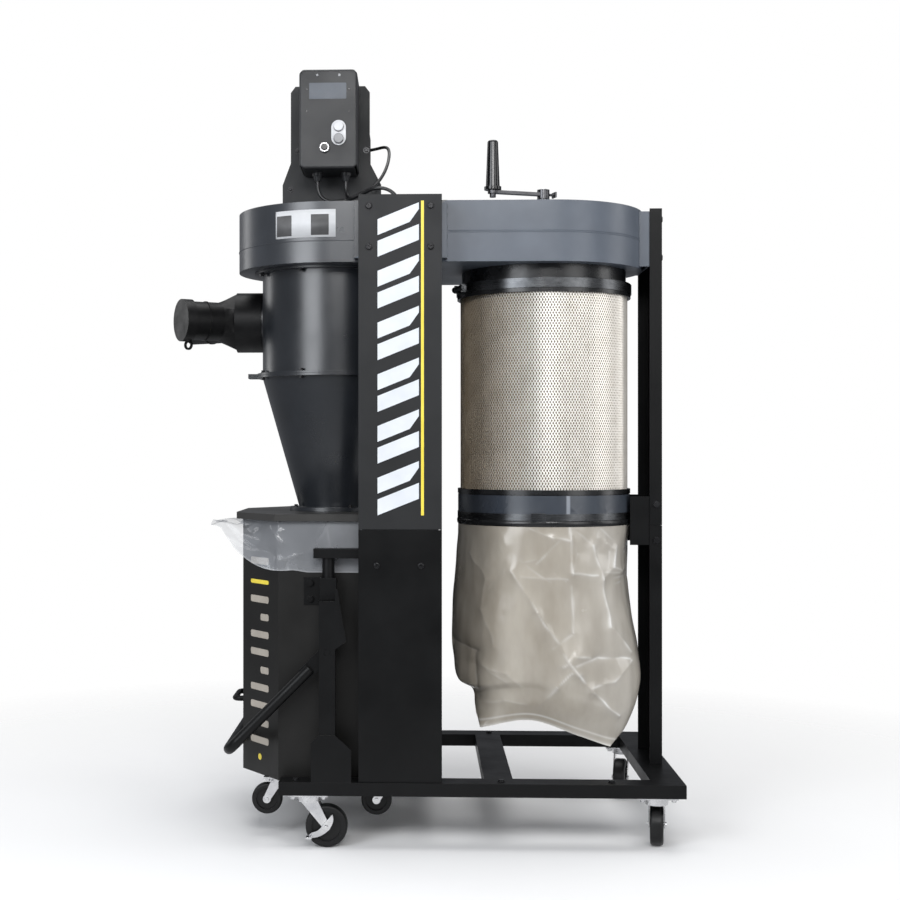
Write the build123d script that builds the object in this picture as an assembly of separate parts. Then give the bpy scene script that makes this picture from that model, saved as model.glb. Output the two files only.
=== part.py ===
from build123d import *
import os
from math import cos, radians, sin, sqrt

# Two-stage cyclone dust collector: a cyclone over a roll-out bin, and a pleated filter over a bag.
# Millimetres. +X to the filter's side, +Y to the back, +Z up. The origin is on the floor, under
# the middle of the machine's own outline (its power cord is not counted).

# ---------------------------------------------------------------- driving dimensions
WIDTH = 1290                     # cap of the hose port to the right end of the base
DEPTH = 668                      # over the two long base rails
LEFT_END = -WIDTH / 2
RIGHT_END = WIDTH / 2
FRONT = -DEPTH / 2

CYCLONE_X = -207                 # axis of the cyclone, bin, fan and motor
FILTER_X = 335                   # axis of the filter, bag and crank

RAIL_BOTTOM = 130
RAIL_TOP = 162
RAIL_WIDTH = 60
RAIL_LEFT = -327
RAIL_WALL = 3

COLUMN_X = -35
COLUMN_WIDTH = 200
COLUMN_DEPTH = 45
COLUMN_FACE = FRONT + 4
COLUMN_TOP = 1572
SHEET = 3
SEAM_Z = 768                     # where the lower and upper halves of each upright meet
SEAM_GAP = 1

POST_LEFT = 595
POST_RIGHT = 626
POST_HALF_DEPTH = 100

HOUSING_BOTTOM = 1420
HOUSING_TOP = 1570
HOUSING_RADIUS = 253
HOUSING_SPLIT_X = -36            # the fan housing meets the filter plenum here

BARREL_RADIUS = 192
BARREL_BOTTOM = 1152
CONE_TOP = 1146
CONE_BOTTOM = 812
CONE_END_RADIUS = 96.5
FLANGE_RADIUS = 206
NECK_RADIUS = 121
SHELL = 2

BIN_HALF_X = 230
BIN_HALF_Y = 260
BIN_CHAMFER_X = 103
BIN_CHAMFER_Y = 137
BIN_BOTTOM = 150
BIN_RIM = 783
LID_BOTTOM = 785
LID_TOP = 802
LID_OVERHANG = 16

INLET_Y = 96
INLET_Z = 1302
INLET_RADIUS = 75
HUB_RADIUS = 80
PORT_RADIUS = 51
PORT_BORE = 48.5
BRANCH_ANGLE = 30
PORT_END = 185                   # hub centre to the mouth of each branch
CAP_RADIUS = 56
CAP_DEPTH = 27
CAP_END = PORT_END + 3
HUB_X = LEFT_END + CAP_END * cos(radians(BRANCH_ANGLE)) + CAP_RADIUS * sin(radians(BRANCH_ANGLE))

FILTER_RING_RADIUS = 224
MESH_RADIUS = 216
MEDIA_INNER = 160
MEDIA_OUTER = 212
FILTER_TOP = 1382
FILTER_BOTTOM = 850
BAG_RADIUS = 221
BAG_WALL = 1.5

BOX_LEFT = -286
BOX_RIGHT = -142
BOX_FRONT = -225
BOX_BACK = -105
BOX_BOTTOM = 1655
BOX_TOP = 1901
GLAND_TIP = 1634
JUNCTION_FACE = -118
GLAND_Y = -165
MOTOR_GLAND_X = -244
POWER_GLAND_X = -173

CRANK_Z = 1626
CRANK_REACH = (-134, -46)
SHAFT_RADIUS = 8
RUNNING = 0.05                   # radial clearance of every pin in its hole

LEVER_PIVOT = (-210, 473)
LEVER_RADIUS = 344
LEVER_TUBE = 13.5
GUIDE_ROD_Y = 281
GUIDE_ROD_RADIUS = 15

CORD_DIAMETER = 9
CABLE_DIAMETER = 8

# ---------------------------------------------------------------- helpers
parts = {}


def block(x0, x1, y0, y1, z0, z1):
    return Pos((x0 + x1) / 2, (y0 + y1) / 2, (z0 + z1) / 2) * Box(x1 - x0, y1 - y0, z1 - z0)


def disc(x, y, z0, z1, radius):
    return Pos(x, y, (z0 + z1) / 2) * Cylinder(radius, z1 - z0)


def ring(x, y, z0, z1, outer, inner):
    return disc(x, y, z0, z1, outer) - disc(x, y, z0 - 1, z1 + 1, inner)


def pin_y(x, z, y0, y1, radius):
    return Pos(x, (y0 + y1) / 2, z) * Rot(90, 0, 0) * Cylinder(radius, abs(y1 - y0))


def pin_x(y, z, x0, x1, radius):
    return Pos((x0 + x1) / 2, y, z) * Rot(0, 90, 0) * Cylinder(radius, abs(x1 - x0))


def taper(x, y, z0, z1, radius0, radius1):
    return Pos(x, y, (z0 + z1) / 2) * Cone(radius0, radius1, z1 - z0)


def tube_x(x0, x1, y0, y1, z0, z1):
    hollow = block(x0 - 1, x1 + 1, y0 + RAIL_WALL, y1 - RAIL_WALL, z0 + RAIL_WALL, z1 - RAIL_WALL)
    return block(x0, x1, y0, y1, z0, z1) - hollow


def tube_y(x0, x1, y0, y1, z0, z1):
    hollow = block(x0 + RAIL_WALL, x1 - RAIL_WALL, y0 - 1, y1 + 1, z0 + RAIL_WALL, z1 - RAIL_WALL)
    return block(x0, x1, y0, y1, z0, z1) - hollow


def plate_xz(points, y0, y1):
    outline = make_face(Polyline(*[(x, 0, z) for x, z in points], close=True))
    return Pos(0, y0, 0) * extrude(outline, amount=y1 - y0, dir=(0, 1, 0))


def octagon(grow=0.0):
    x, y = BIN_HALF_X, BIN_HALF_Y
    cut_x, cut_y = BIN_CHAMFER_X, BIN_CHAMFER_Y
    corners = [(x - cut_x, -y), (x, cut_y - y), (x, y - cut_y), (x - cut_x, y),
               (cut_x - x, y), (-x, y - cut_y), (-x, cut_y - y), (cut_x - x, -y)]
    face = make_face(Polyline(*corners, close=True))
    if grow:
        face = offset(face, amount=grow, kind=Kind.INTERSECTION)
    return face


def octagon_prism(z0, z1, grow=0.0):
    return Pos(CYCLONE_X, 0, z0) * extrude(octagon(grow), amount=z1 - z0)


def mirrored(shape):
    return mirror(shape, about=Plane.XZ)


def group(*shapes):
    solids = [solid for shape in shapes for solid in shape.solids()]
    return Compound(children=solids)


def cord_path(points, name):
    """Straight runs joined by the largest arcs that each pair of runs allows."""
    corners = [Vector(*point) for point in points]
    runs = [b - a for a, b in zip(corners, corners[1:])]
    radii = []
    for before, after in zip(runs, runs[1:]):
        half_turn = radians(before.get_angle(after)) / 2
        radii.append(0.45 * min(before.length, after.length) * cos(half_turn) / sin(half_turn))
    path = FilletPolyline(*points, radius=radii)
    print(name, "length", round(path.length), "smallest arcs", [round(r) for r in sorted(radii)[:4]])
    return path


def cord_tube(points, diameter, name):
    path = cord_path(points, name)
    start = Plane(origin=points[0], z_dir=path % 0)
    tube = sweep(start * Circle(diameter / 2), path=path)
    expected = 3.14159265 * diameter ** 2 / 4 * path.length
    print(name, "volume over section times length", round(tube.volume / expected, 4))
    return tube


# ---------------------------------------------------------------- base and uprights
def base_frame():
    side = [tube_x(RAIL_LEFT, RIGHT_END, y0, y0 + RAIL_WIDTH, RAIL_BOTTOM, RAIL_TOP)
            for y0 in (FRONT, -FRONT - RAIL_WIDTH)]
    inner = -FRONT - RAIL_WIDTH
    cross = [tube_y(x0, x1, -inner, inner, RAIL_BOTTOM, RAIL_TOP)
             for x0, x1 in ((28, 56), (168, 237), (568, RIGHT_END))]
    return group(*side, *cross)


COLUMN_BOLT_X = (-110, 38)
COLUMN_BOLT_Z = (1446, 1544)
SEAM_BOLT_X = (-91, 15)
SEAM_BOLT_Z = 682
BOLT_SHANK = 4


def column_channel(z0, z1):
    x0, x1 = COLUMN_X - COLUMN_WIDTH / 2, COLUMN_X + COLUMN_WIDTH / 2
    back = COLUMN_FACE + COLUMN_DEPTH
    channel = block(x0, x1, COLUMN_FACE, back, z0, z1)
    channel -= block(x0 + SHEET, x1 - SHEET, COLUMN_FACE + SHEET, back + 1, z0 - 1, z1 + 1)
    holes = [(x, z) for x in COLUMN_BOLT_X for z in COLUMN_BOLT_Z] + [(x, SEAM_BOLT_Z) for x in SEAM_BOLT_X]
    for x, z in holes:
        channel -= pin_y(x, z, COLUMN_FACE - 1, COLUMN_FACE + SHEET + 1, BOLT_SHANK)
    return channel


def post_channel(z0, z1):
    post = block(POST_LEFT, POST_RIGHT, -POST_HALF_DEPTH, POST_HALF_DEPTH, z0, z1)
    inner = POST_HALF_DEPTH - SHEET
    return post - block(POST_LEFT - 1, POST_RIGHT - SHEET, -inner, inner, z0 - 1, z1 + 1)


def frame_brackets():
    """Housing brackets behind each column, the plenum's bracket, and the splices at the seams."""
    x0, x1 = COLUMN_X - 112, COLUMN_X + 113
    low, high = HOUSING_BOTTOM + 5, HOUSING_TOP - 5
    face = COLUMN_FACE + COLUMN_DEPTH
    housing = block(x0, x1, face, -HOUSING_RADIUS, low, high)
    housing -= block(x0 + 4, x1 - 4, face + 4, -HOUSING_RADIUS + 1, low - 1, high + 1)

    inner = POST_HALF_DEPTH - SHEET
    plenum = block(560, POST_LEFT, -inner, inner, low, high)
    plenum -= block(550, POST_LEFT - 4, 4 - inner, inner - 4, low - 1, high + 1)
    plenum -= disc(FILTER_X, 0, low - 1, high + 1, HOUSING_RADIUS)

    splice = block(COLUMN_X - 92, COLUMN_X + 92, COLUMN_FACE + SHEET, COLUMN_FACE + SHEET + 4,
                   SEAM_Z - 115, SEAM_Z + 60)
    for x in SEAM_BOLT_X:
        splice -= pin_y(x, SEAM_BOLT_Z, COLUMN_FACE, COLUMN_FACE + 12, BOLT_SHANK)

    nested = block(546, POST_RIGHT - SHEET, -inner, inner, SEAM_Z - 50, SEAM_Z + 73)
    nested -= block(540, POST_RIGHT - SHEET - 4, 4 - inner, inner - 4, SEAM_Z - 60, SEAM_Z + 80)
    return group(housing, mirrored(housing), plenum, splice, mirrored(splice), nested)


def button_bolt(x, z):
    head = pin_y(x, z, COLUMN_FACE - 4, COLUMN_FACE, 8)
    head = fillet(head.faces().sort_by(Axis.Y)[0].edges(), 3)
    head -= pin_y(x, z, COLUMN_FACE - 5, COLUMN_FACE - 2, 3)
    return head + pin_y(x, z, COLUMN_FACE, COLUMN_FACE + SHEET, BOLT_SHANK)


def hex_head(x, y, z, axis, size=13, height=6):
    turn = {"x": Rot(0, 90, 0), "-x": Rot(0, -90, 0), "y": Rot(-90, 0, 0), "-y": Rot(90, 0, 0),
            "z": Rot(0, 0, 0), "-z": Rot(180, 0, 0)}[axis]
    head = extrude(RegularPolygon(size / 2, 6, major_radius=False), amount=height)
    washer = extrude(Circle(size * 0.72), amount=1.5)
    return Pos(x, y, z) * turn * (Pos(0, 0, 1.5) * head + washer)


FLANGE_BOLTS = 8


def fasteners():
    columns = [button_bolt(x, z) for x in COLUMN_BOLT_X for z in COLUMN_BOLT_Z]
    columns += [button_bolt(x, SEAM_BOLT_Z) for x in SEAM_BOLT_X]
    heads = columns + [mirrored(bolt) for bolt in columns]
    for y in (-60, 60):
        for z in (1452, 1550):
            heads.append(hex_head(POST_RIGHT, y, z, "x"))
    for y, axis in ((-POST_HALF_DEPTH, "-y"), (POST_HALF_DEPTH, "y")):
        for z in (SEAM_Z - 38, SEAM_Z + 53):
            heads.append(hex_head(612, y, z, axis))
    for index in range(FLANGE_BOLTS):
        angle = radians(22.5 + 45 * index)
        across = (CYCLONE_X + 199.5 * cos(angle), 199.5 * sin(angle))
        heads.append(hex_head(*across, BARREL_BOTTOM + 6, "z", size=8, height=5))
        heads.append(hex_head(*across, CONE_TOP, "-z", size=8, height=5))
        under = (CYCLONE_X + 203 * cos(angle), 203 * sin(angle))
        heads.append(hex_head(*under, HOUSING_BOTTOM - 6, "-z", size=10, height=5))
        if index % 2 == 0:
            neck = (CYCLONE_X + 110 * cos(angle), 110 * sin(angle))
            heads.append(hex_head(*neck, LID_TOP + 10, "z", size=8, height=5))
    for x in (-287, 208, 472):
        for side in (-1, 1):
            heads.append(hex_head(x, side * 304, RAIL_TOP, "z", size=13, height=3))
    return group(*heads)


# ---------------------------------------------------------------- housings
def housing_shell(axis_x, open_x):
    """A round-ended sheet-metal box, open on the side where the two housings meet."""
    def solid(inset, z0, z1, reach):
        low, high = sorted((axis_x, open_x + reach))
        half = HOUSING_RADIUS - inset
        return disc(axis_x, 0, z0, z1, half) + block(low, high, -half, half, z0, z1)
    past = 5 if open_x > axis_x else -5
    outer = solid(0, HOUSING_BOTTOM, HOUSING_TOP, 0)
    shell = outer - solid(SHEET, HOUSING_BOTTOM + SHEET, HOUSING_TOP - SHEET, past)
    low, high = sorted((open_x, open_x + past * 100))
    return shell - block(low, high, -300, 300, HOUSING_BOTTOM - 1, HOUSING_TOP + 1)


def fan_housing():
    shell = housing_shell(CYCLONE_X, HOUSING_SPLIT_X)
    shell -= disc(CYCLONE_X, 0, HOUSING_BOTTOM - 1, HOUSING_BOTTOM + 5, 98)
    return shell - disc(CYCLONE_X, 0, HOUSING_TOP - 5, HOUSING_TOP + 1, 30)


CRANK_BOSS_TOP = 1592


def filter_plenum():
    shell = housing_shell(FILTER_X, HOUSING_SPLIT_X)
    shell -= disc(FILTER_X, 0, HOUSING_BOTTOM - 1, HOUSING_BOTTOM + 5, 195)
    shell += disc(FILTER_X, 0, HOUSING_TOP, CRANK_BOSS_TOP, 20)
    return shell - disc(FILTER_X, 0, HOUSING_TOP - 10, CRANK_BOSS_TOP + 1, SHAFT_RADIUS + RUNNING)


# ---------------------------------------------------------------- motor and fan
MOTOR_RADIUS = 85
MOTOR_FOOT = HOUSING_TOP + 4
MOTOR_TOP = 1842
MOTOR_SHAFT = 12


def motor_stand():
    outline = [(-338, HOUSING_TOP), (-338, 1636), (-317, 1692), (-317, 1872), (-305, 1888),
               (-127, 1888), (-115, 1872), (-115, 1692), (-86, 1636), (-86, HOUSING_TOP)]
    stand = plate_xz(outline, BOX_BACK, BOX_BACK + 4)
    stand += block(-338, -86, BOX_BACK, 110, HOUSING_TOP, MOTOR_FOOT)
    for x0 in (-317, -119):
        stand += block(x0, x0 + 4, BOX_BACK, 90, HOUSING_TOP, 1660)
    return stand - disc(CYCLONE_X, 0, HOUSING_TOP - 1, MOTOR_FOOT + 1, 30)


def motor_body():
    body = disc(CYCLONE_X, 0, MOTOR_FOOT, MOTOR_TOP - 46, MOTOR_RADIUS)
    cowl = disc(CYCLONE_X, 0, MOTOR_TOP - 46, MOTOR_TOP, MOTOR_RADIUS + 2)
    body += fillet(cowl.faces().sort_by(Axis.Z)[-1].edges(), 12)
    body += block(-145, JUNCTION_FACE, -17, 59, 1715, 1785)
    for index in range(24):
        angle = 15 * index
        if 30 < angle < 330:
            fin = block(MOTOR_RADIUS - 3, MOTOR_RADIUS + 5, -1.5, 1.5, MOTOR_FOOT + 45, MOTOR_TOP - 60)
            body += Pos(CYCLONE_X, 0, 0) * Rot(0, 0, angle) * fin
    return body - disc(CYCLONE_X, 0, MOTOR_FOOT - 1, 1790, MOTOR_SHAFT + RUNNING)


def impeller():
    """The motor's shaft, and the fan wheel that it carries."""
    wheel = disc(CYCLONE_X, 0, 1512, 1516, 175) + disc(CYCLONE_X, 0, 1462, 1530, 30)
    for index in range(10):
        blade = block(26, 172, -1.5, 1.5, 1448, 1513)
        wheel += Pos(CYCLONE_X, 0, 0) * Rot(0, 0, 36 * index) * blade
    wheel -= disc(CYCLONE_X, 0, 1440, 1540, MOTOR_SHAFT)
    return group(wheel, disc(CYCLONE_X, 0, 1455, 1788, MOTOR_SHAFT))


# ---------------------------------------------------------------- cyclone
def flange(z0, z1):
    """A rolled flange with the lifting ear that sticks out on the left."""
    plate = disc(CYCLONE_X, 0, z0, z1, FLANGE_RADIUS)
    return plate + block(-436, -390, -22, 22, z0, z1)


def cyclone_barrel():
    outer = disc(CYCLONE_X, 0, BARREL_BOTTOM, HOUSING_BOTTOM, BARREL_RADIUS)
    outer += flange(BARREL_BOTTOM, BARREL_BOTTOM + 6)
    outer += disc(CYCLONE_X, 0, HOUSING_BOTTOM - 6, HOUSING_BOTTOM, 212)
    outer += pin_x(INLET_Y, INLET_Z, -430, CYCLONE_X, INLET_RADIUS)
    bore = disc(CYCLONE_X, 0, BARREL_BOTTOM - 1, HOUSING_BOTTOM + 1, BARREL_RADIUS - SHELL)
    bore += pin_x(INLET_Y, INLET_Z, -431, CYCLONE_X, INLET_RADIUS - SHELL)
    return outer - bore


def cyclone_cone():
    outer = taper(CYCLONE_X, 0, CONE_BOTTOM, CONE_TOP, CONE_END_RADIUS, BARREL_RADIUS)
    outer += flange(CONE_TOP, BARREL_BOTTOM)
    outer += disc(CYCLONE_X, 0, LID_TOP, CONE_BOTTOM, NECK_RADIUS)
    bore = taper(CYCLONE_X, 0, CONE_BOTTOM, CONE_TOP, CONE_END_RADIUS - SHELL, BARREL_RADIUS - SHELL)
    bore += disc(CYCLONE_X, 0, CONE_TOP, BARREL_BOTTOM + 1, BARREL_RADIUS - SHELL)
    bore += disc(CYCLONE_X, 0, LID_TOP - 1, CONE_BOTTOM, CONE_END_RADIUS - SHELL)
    return outer - bore


def vortex_tube():
    tube = ring(CYCLONE_X, 0, 1230, HOUSING_BOTTOM, 100, 98)
    return tube + ring(CYCLONE_X, 0, HOUSING_BOTTOM - 3, HOUSING_BOTTOM, 125, 98)


def branch_plane(side):
    """A plane at the hub's centre whose normal runs out along one branch."""
    angle = radians(BRANCH_ANGLE)
    return Plane(origin=(HUB_X, INLET_Y, INLET_Z), z_dir=(-cos(angle), side * sin(angle), 0))


def inlet_solid(inset, extra):
    """The Y piece: a collar on the cyclone's inlet, an octagonal hub, and two round branches."""
    collar = pin_x(INLET_Y, INLET_Z, -478, -407 + extra, HUB_RADIUS - inset)
    hub_end = Plane(origin=(-478, INLET_Y, INLET_Z), z_dir=(-1, 0, 0))
    body = collar
    for side in (-1, 1):
        plane = branch_plane(side)
        mouth = plane.offset(82) * Circle(PORT_RADIUS - inset)
        root = hub_end * RegularPolygon(HUB_RADIUS - inset, 8, rotation=22.5)
        body += loft([root, mouth])
        body += plane.offset(81) * extrude(Circle(PORT_RADIUS - inset), amount=PORT_END - 81 + extra)
    return body


def inlet_adapter():
    wall = PORT_RADIUS - PORT_BORE
    adapter = inlet_solid(0, 0) - inlet_solid(wall, 2)
    adapter -= pin_x(INLET_Y, INLET_Z, -440, -400, INLET_RADIUS + 0.5)
    for side in (-1, 1):
        bead = branch_plane(side).offset(118) * extrude(Circle(PORT_RADIUS + 2), amount=4)
        adapter += bead - branch_plane(side).offset(110) * extrude(Circle(PORT_RADIUS - 1), amount=20)
    return adapter


def port_cap():
    plane = branch_plane(-1)
    start = CAP_END - CAP_DEPTH
    cap = plane.offset(start) * extrude(Circle(CAP_RADIUS), amount=CAP_DEPTH)
    cap -= plane.offset(start - 1) * extrude(Circle(PORT_RADIUS + 0.3), amount=CAP_DEPTH - 2)
    loop = Pos(0, 0, -CAP_RADIUS - 9) * Rot(90, 0, 0) * (Cylinder(13, 5) - Cylinder(7.5, 6))
    turned = Rot(0, 0, 90 - BRANCH_ANGLE + 90) * loop
    centre = plane.offset(start + 6).origin
    return cap + Pos(centre.X, centre.Y, centre.Z) * turned


# ---------------------------------------------------------------- bin
def bin_lid():
    lid = octagon_prism(LID_BOTTOM, LID_TOP, LID_OVERHANG)
    lid -= octagon_prism(LID_BOTTOM - 1, LID_TOP - SHEET, LID_OVERHANG - SHEET)
    return lid - disc(CYCLONE_X, 0, LID_BOTTOM, LID_TOP + 1, CONE_END_RADIUS - SHELL)


def collection_bin():
    return octagon_prism(BIN_BOTTOM, BIN_RIM) - octagon_prism(BIN_BOTTOM + SHELL, BIN_RIM + 1, -SHELL)


BAG_SKIRT_BOTTOM = 652


def bin_bag():
    """The bin's clear liner, turned down over the rim."""
    liner = octagon_prism(BIN_BOTTOM + 3, BIN_RIM + 1.6, 2)
    liner -= octagon_prism(BIN_BOTTOM + 4.5, BIN_RIM + 3, -4)
    liner -= octagon_prism(BIN_BOTTOM, BIN_RIM + 0.3, 0.4) - octagon_prism(BIN_BOTTOM, BIN_RIM + 0.3, -2.5)
    below = octagon_prism(BIN_BOTTOM, BAG_SKIRT_BOTTOM, 10) - octagon_prism(BIN_BOTTOM, BAG_SKIRT_BOTTOM, -1)
    return liner - below


def bin_handle():
    face = CYCLONE_X - BIN_HALF_X
    reach, half, z = 30, 58, 316
    path = FilletPolyline((face, -half, z), (face - reach, -half, z), (face - reach, half, z),
                          (face, half, z), radius=16)
    grip = sweep(Plane(origin=path @ 0, z_dir=path % 0) * Circle(7), path=path)
    for y in (-half, half):
        grip += pin_x(y, z, face - 4, face, 13)
    return grip


# ---------------------------------------------------------------- bin lift
def lift_posts():
    """Each side has a box post with its foot, and a guide rod held by an arm off the column."""
    pivot_x, pivot_z = LEVER_PIVOT
    post = block(-230, -191, -331, -307, RAIL_TOP, 596)
    post -= block(-227, -194, -328, -310, RAIL_TOP - 1, 593)
    post += plate_xz([(-249, RAIL_TOP), (-249, 256), (-230, 275), (-191, 275), (-152, 240),
                      (-152, RAIL_TOP)], FRONT, -331)
    post += plate_xz([(-191, 480), (-191, 626), (-186, 626), (-164, 500)], -331, -327)
    post -= pin_y(pivot_x, pivot_z, -335, -300, SHAFT_RADIUS + RUNNING)
    rod = disc(pivot_x, -GUIDE_ROD_Y, RAIL_TOP, 698, GUIDE_ROD_RADIUS)
    rod += block(-245, COLUMN_X - COLUMN_WIDTH / 2, -303, -267, 697, 720)
    side = [post, rod]
    return group(*side, *[mirrored(shape) for shape in side])


def lift_carriages():
    x = LEVER_PIVOT[0]
    carriage = block(x - 20, x + 20, -300, -263, 596, 649)
    carriage += block(-271, x + 20, -264, -BIN_HALF_Y, 581, 648)
    carriage -= disc(x, -GUIDE_ROD_Y, 590, 655, GUIDE_ROD_RADIUS + RUNNING)
    for z in (595, 634):
        carriage += hex_head(-255, -264, z, "-y")
    return group(carriage, mirrored(carriage))


def lift_lever():
    """The U-shaped lever: a plate and a pin at each post, and a tube round the bin's left side."""
    x, z = LEVER_PIVOT
    slope = sqrt(0.5)

    def along(distance, y):
        return (x - distance * slope, y, z - distance * slope)

    arm_y = 303.5
    path = FilletPolyline(along(60, -arm_y), along(LEVER_RADIUS, -arm_y), along(LEVER_RADIUS, arm_y),
                          along(60, arm_y), radius=32)
    lever = sweep(Plane(origin=path @ 0, z_dir=path % 0) * Circle(LEVER_TUBE), path=path)
    plate = Pos(-42, 0, 0) * Box(84, 5, 34) + Rot(90, 0, 0) * Cylinder(17, 5)
    for side in (-1, 1):
        lever += Pos(x, side * 303.5, z) * Rot(0, -45, 0) * plate
        lever += pin_y(x, z, side * 330, side * 302, SHAFT_RADIUS)
    return lever


# ---------------------------------------------------------------- filter and bag
def filter_top_ring():
    step = FILTER_TOP + 4
    top = ring(FILTER_X, 0, 1350, step, FILTER_RING_RADIUS, MESH_RADIUS + 1)
    top += ring(FILTER_X, 0, FILTER_TOP, step, FILTER_RING_RADIUS, 199)
    return top + ring(FILTER_X, 0, FILTER_TOP, HOUSING_BOTTOM, 212, 199)


def filter_bottom_ring():
    lower = ring(FILTER_X, 0, 784, 860, BAG_RADIUS - 1.5, MESH_RADIUS + 1)
    lower += ring(FILTER_X, 0, 848, 860, BAG_RADIUS + 2, MESH_RADIUS + 1)
    return lower + ring(FILTER_X, 0, FILTER_BOTTOM - 4, FILTER_BOTTOM, BAG_RADIUS - 2, 150)


PLEATS = 72
PLEAT_SHIFT = 9                  # radial, so that the folded sheet is about 1.5 mm thick


def pleat_star(outer, inner):
    steps = 2 * PLEATS
    corners = []
    for index in range(steps):
        radius = inner if index % 2 else outer
        angle = radians(360 * index / steps)
        corners.append((radius * cos(angle), radius * sin(angle)))
    return make_face(Polyline(*corners, close=True))


def filter_media():
    """One sheet folded into deep pleats that run the height of the filter."""
    fold = pleat_star(MEDIA_OUTER, MEDIA_INNER + PLEAT_SHIFT)
    fold -= pleat_star(MEDIA_OUTER - PLEAT_SHIFT, MEDIA_INNER)
    return Pos(FILTER_X, 0, FILTER_BOTTOM) * extrude(fold, amount=FILTER_TOP - FILTER_BOTTOM)


def bag_profile(inset):
    """Half section of the bag: straight over the ring, full below it, rounded at the bottom."""
    wall = BAG_RADIUS - inset
    top = Line((0, 0, 845 + 5 * inset), (wall, 0, 845 + 5 * inset))
    neck = Line((wall, 0, 845 + 5 * inset), (wall, 0, 765))
    belly = ThreePointArc((wall, 0, 765), (234 - inset, 0, 640), (240 - inset, 0, 510))
    hang = Line((240 - inset, 0, 510), (238 - inset, 0, 330))
    sag = ThreePointArc((238 - inset, 0, 330), (215 - inset, 0, 262 + inset), (150, 0, 226 + inset))
    floor = Line((150, 0, 226 + inset), (0, 0, 222 + inset))
    close = Line((0, 0, 222 + inset), (0, 0, 845 + 5 * inset))
    return make_face([top, neck, belly, hang, sag, floor, close])


def filter_bag():
    bag = revolve(bag_profile(0), Axis.Z) - revolve(bag_profile(BAG_WALL), Axis.Z)
    return Pos(FILTER_X, 0, 0) * bag


def band_clamps():
    """The T-bolt clamp round the filter's top ring, and the strap round the bag's mouth."""
    band = ring(FILTER_X, 0, 1360, 1384, FILTER_RING_RADIUS + 2.3, FILTER_RING_RADIUS + 0.2)
    lug = block(-2, 14, -24, -18, 1362, 1382) + block(-2, 14, 18, 24, 1362, 1382)
    bolt = pin_y(8, 1372, -36, 34, 4) + pin_y(8, 1372, -36, -30, 8) + pin_y(8, 1372, 24, 30, 7)
    band += Pos(FILTER_X, 0, 0) * Rot(0, 0, 200) * Pos(FILTER_RING_RADIUS + 2, 0, 0) * (lug + bolt)
    strap = ring(FILTER_X, 0, 784, 801, BAG_RADIUS + 2.5, BAG_RADIUS + 0.3)
    strap += Pos(FILTER_X, 0, 0) * Rot(0, 0, -98) * block(BAG_RADIUS + 2, BAG_RADIUS + 6, -18, 18, 782, 803)
    return group(band, strap)


# ---------------------------------------------------------------- crank
def cleaning_rotor():
    rotor = disc(FILTER_X, 0, 880, 1640, SHAFT_RADIUS)
    for z in (905, 1345):
        rotor += block(FILTER_X - 144, FILTER_X + 144, -8, 8, z, z + 8)
    for x in (-146, 138):
        rotor += block(FILTER_X + x, FILTER_X + x + 8, -9, 9, 892, 1366)
    return rotor


def crank_arm():
    dx, dy = CRANK_REACH
    reach = sqrt(dx * dx + dy * dy)
    arm = Pos(reach / 2, 0, CRANK_Z) * Box(reach, 18, 8) + Pos(reach, 0, CRANK_Z) * Cylinder(13, 8)
    arm += Pos(0, 0, CRANK_Z) * Cylinder(16, 24)
    arm += Pos(reach, 0, CRANK_Z + 62) * Cylinder(4, 118)
    arm += Pos(reach, 0, CRANK_Z - 9) * Cylinder(8, 10)
    arm += Pos(-22, 0, CRANK_Z) * Rot(0, 90, 0) * Cylinder(3.5, 18) + Pos(-31, 0, CRANK_Z) * Box(4, 24, 14)
    arm -= Pos(0, 0, CRANK_Z) * Cylinder(SHAFT_RADIUS, 30)
    turn = 180 + 18.95
    return Pos(FILTER_X, 0, 0) * Rot(0, 0, turn) * arm


def crank_handle():
    x, y = FILTER_X + CRANK_REACH[0], CRANK_REACH[1]
    low = CRANK_Z + 5
    grip = taper(x, y, low + 8, low + 128, 18, 13.5) + disc(x, y, low, low + 8, 22)
    grip = fillet(grip.faces().sort_by(Axis.Z)[-1].edges(), 6)
    return grip - disc(x, y, low - 1, low + 118.5, 4 + RUNNING)


# ---------------------------------------------------------------- control box
SWITCH_X = -188
START_Z = 1758
STOP_Z = 1728
RESET_X = -223
RESET_Z = 1707
BUTTON_STEM = 9
BUTTON_HEAD = 12
RESET_STEM = 6
PLATE_FRONT = BOX_FRONT - 3


def control_box():
    box = block(BOX_LEFT, BOX_RIGHT, BOX_FRONT, BOX_BACK, BOX_BOTTOM, BOX_TOP)
    box = fillet(box.edges().filter_by(Axis.Y), 14)
    box = fillet(box.faces().sort_by(Axis.Y)[0].edges(), 6)
    box -= block(BOX_LEFT + 2.5, BOX_RIGHT - 2.5, BOX_FRONT + 2.5, BOX_BACK + 1, BOX_BOTTOM + 2.5,
                 BOX_TOP - 2.5)
    middle = (START_Z + STOP_Z) / 2
    oval = Pos(SWITCH_X, 0, middle) * Rot(90, 0, 0) * extrude(SlotOverall(62, 36, rotation=90), amount=3)
    box += Pos(0, BOX_FRONT, 0) * oval
    box += pin_y(RESET_X, RESET_Z, PLATE_FRONT, BOX_FRONT, 13)
    for x, z, radius in ((SWITCH_X, START_Z, BUTTON_STEM), (SWITCH_X, STOP_Z, BUTTON_STEM),
                         (RESET_X, RESET_Z, RESET_STEM)):
        box -= pin_y(x, z, BOX_FRONT - 5, BOX_FRONT + 5, radius + RUNNING)
    glands = []
    for x in (MOTOR_GLAND_X, POWER_GLAND_X):
        gland = disc(x, GLAND_Y, 1647, BOX_BOTTOM, 13) + taper(x, GLAND_Y, GLAND_TIP, 1647, 7, 11)
        glands.append(gland)
    return group(box, *glands)


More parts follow.
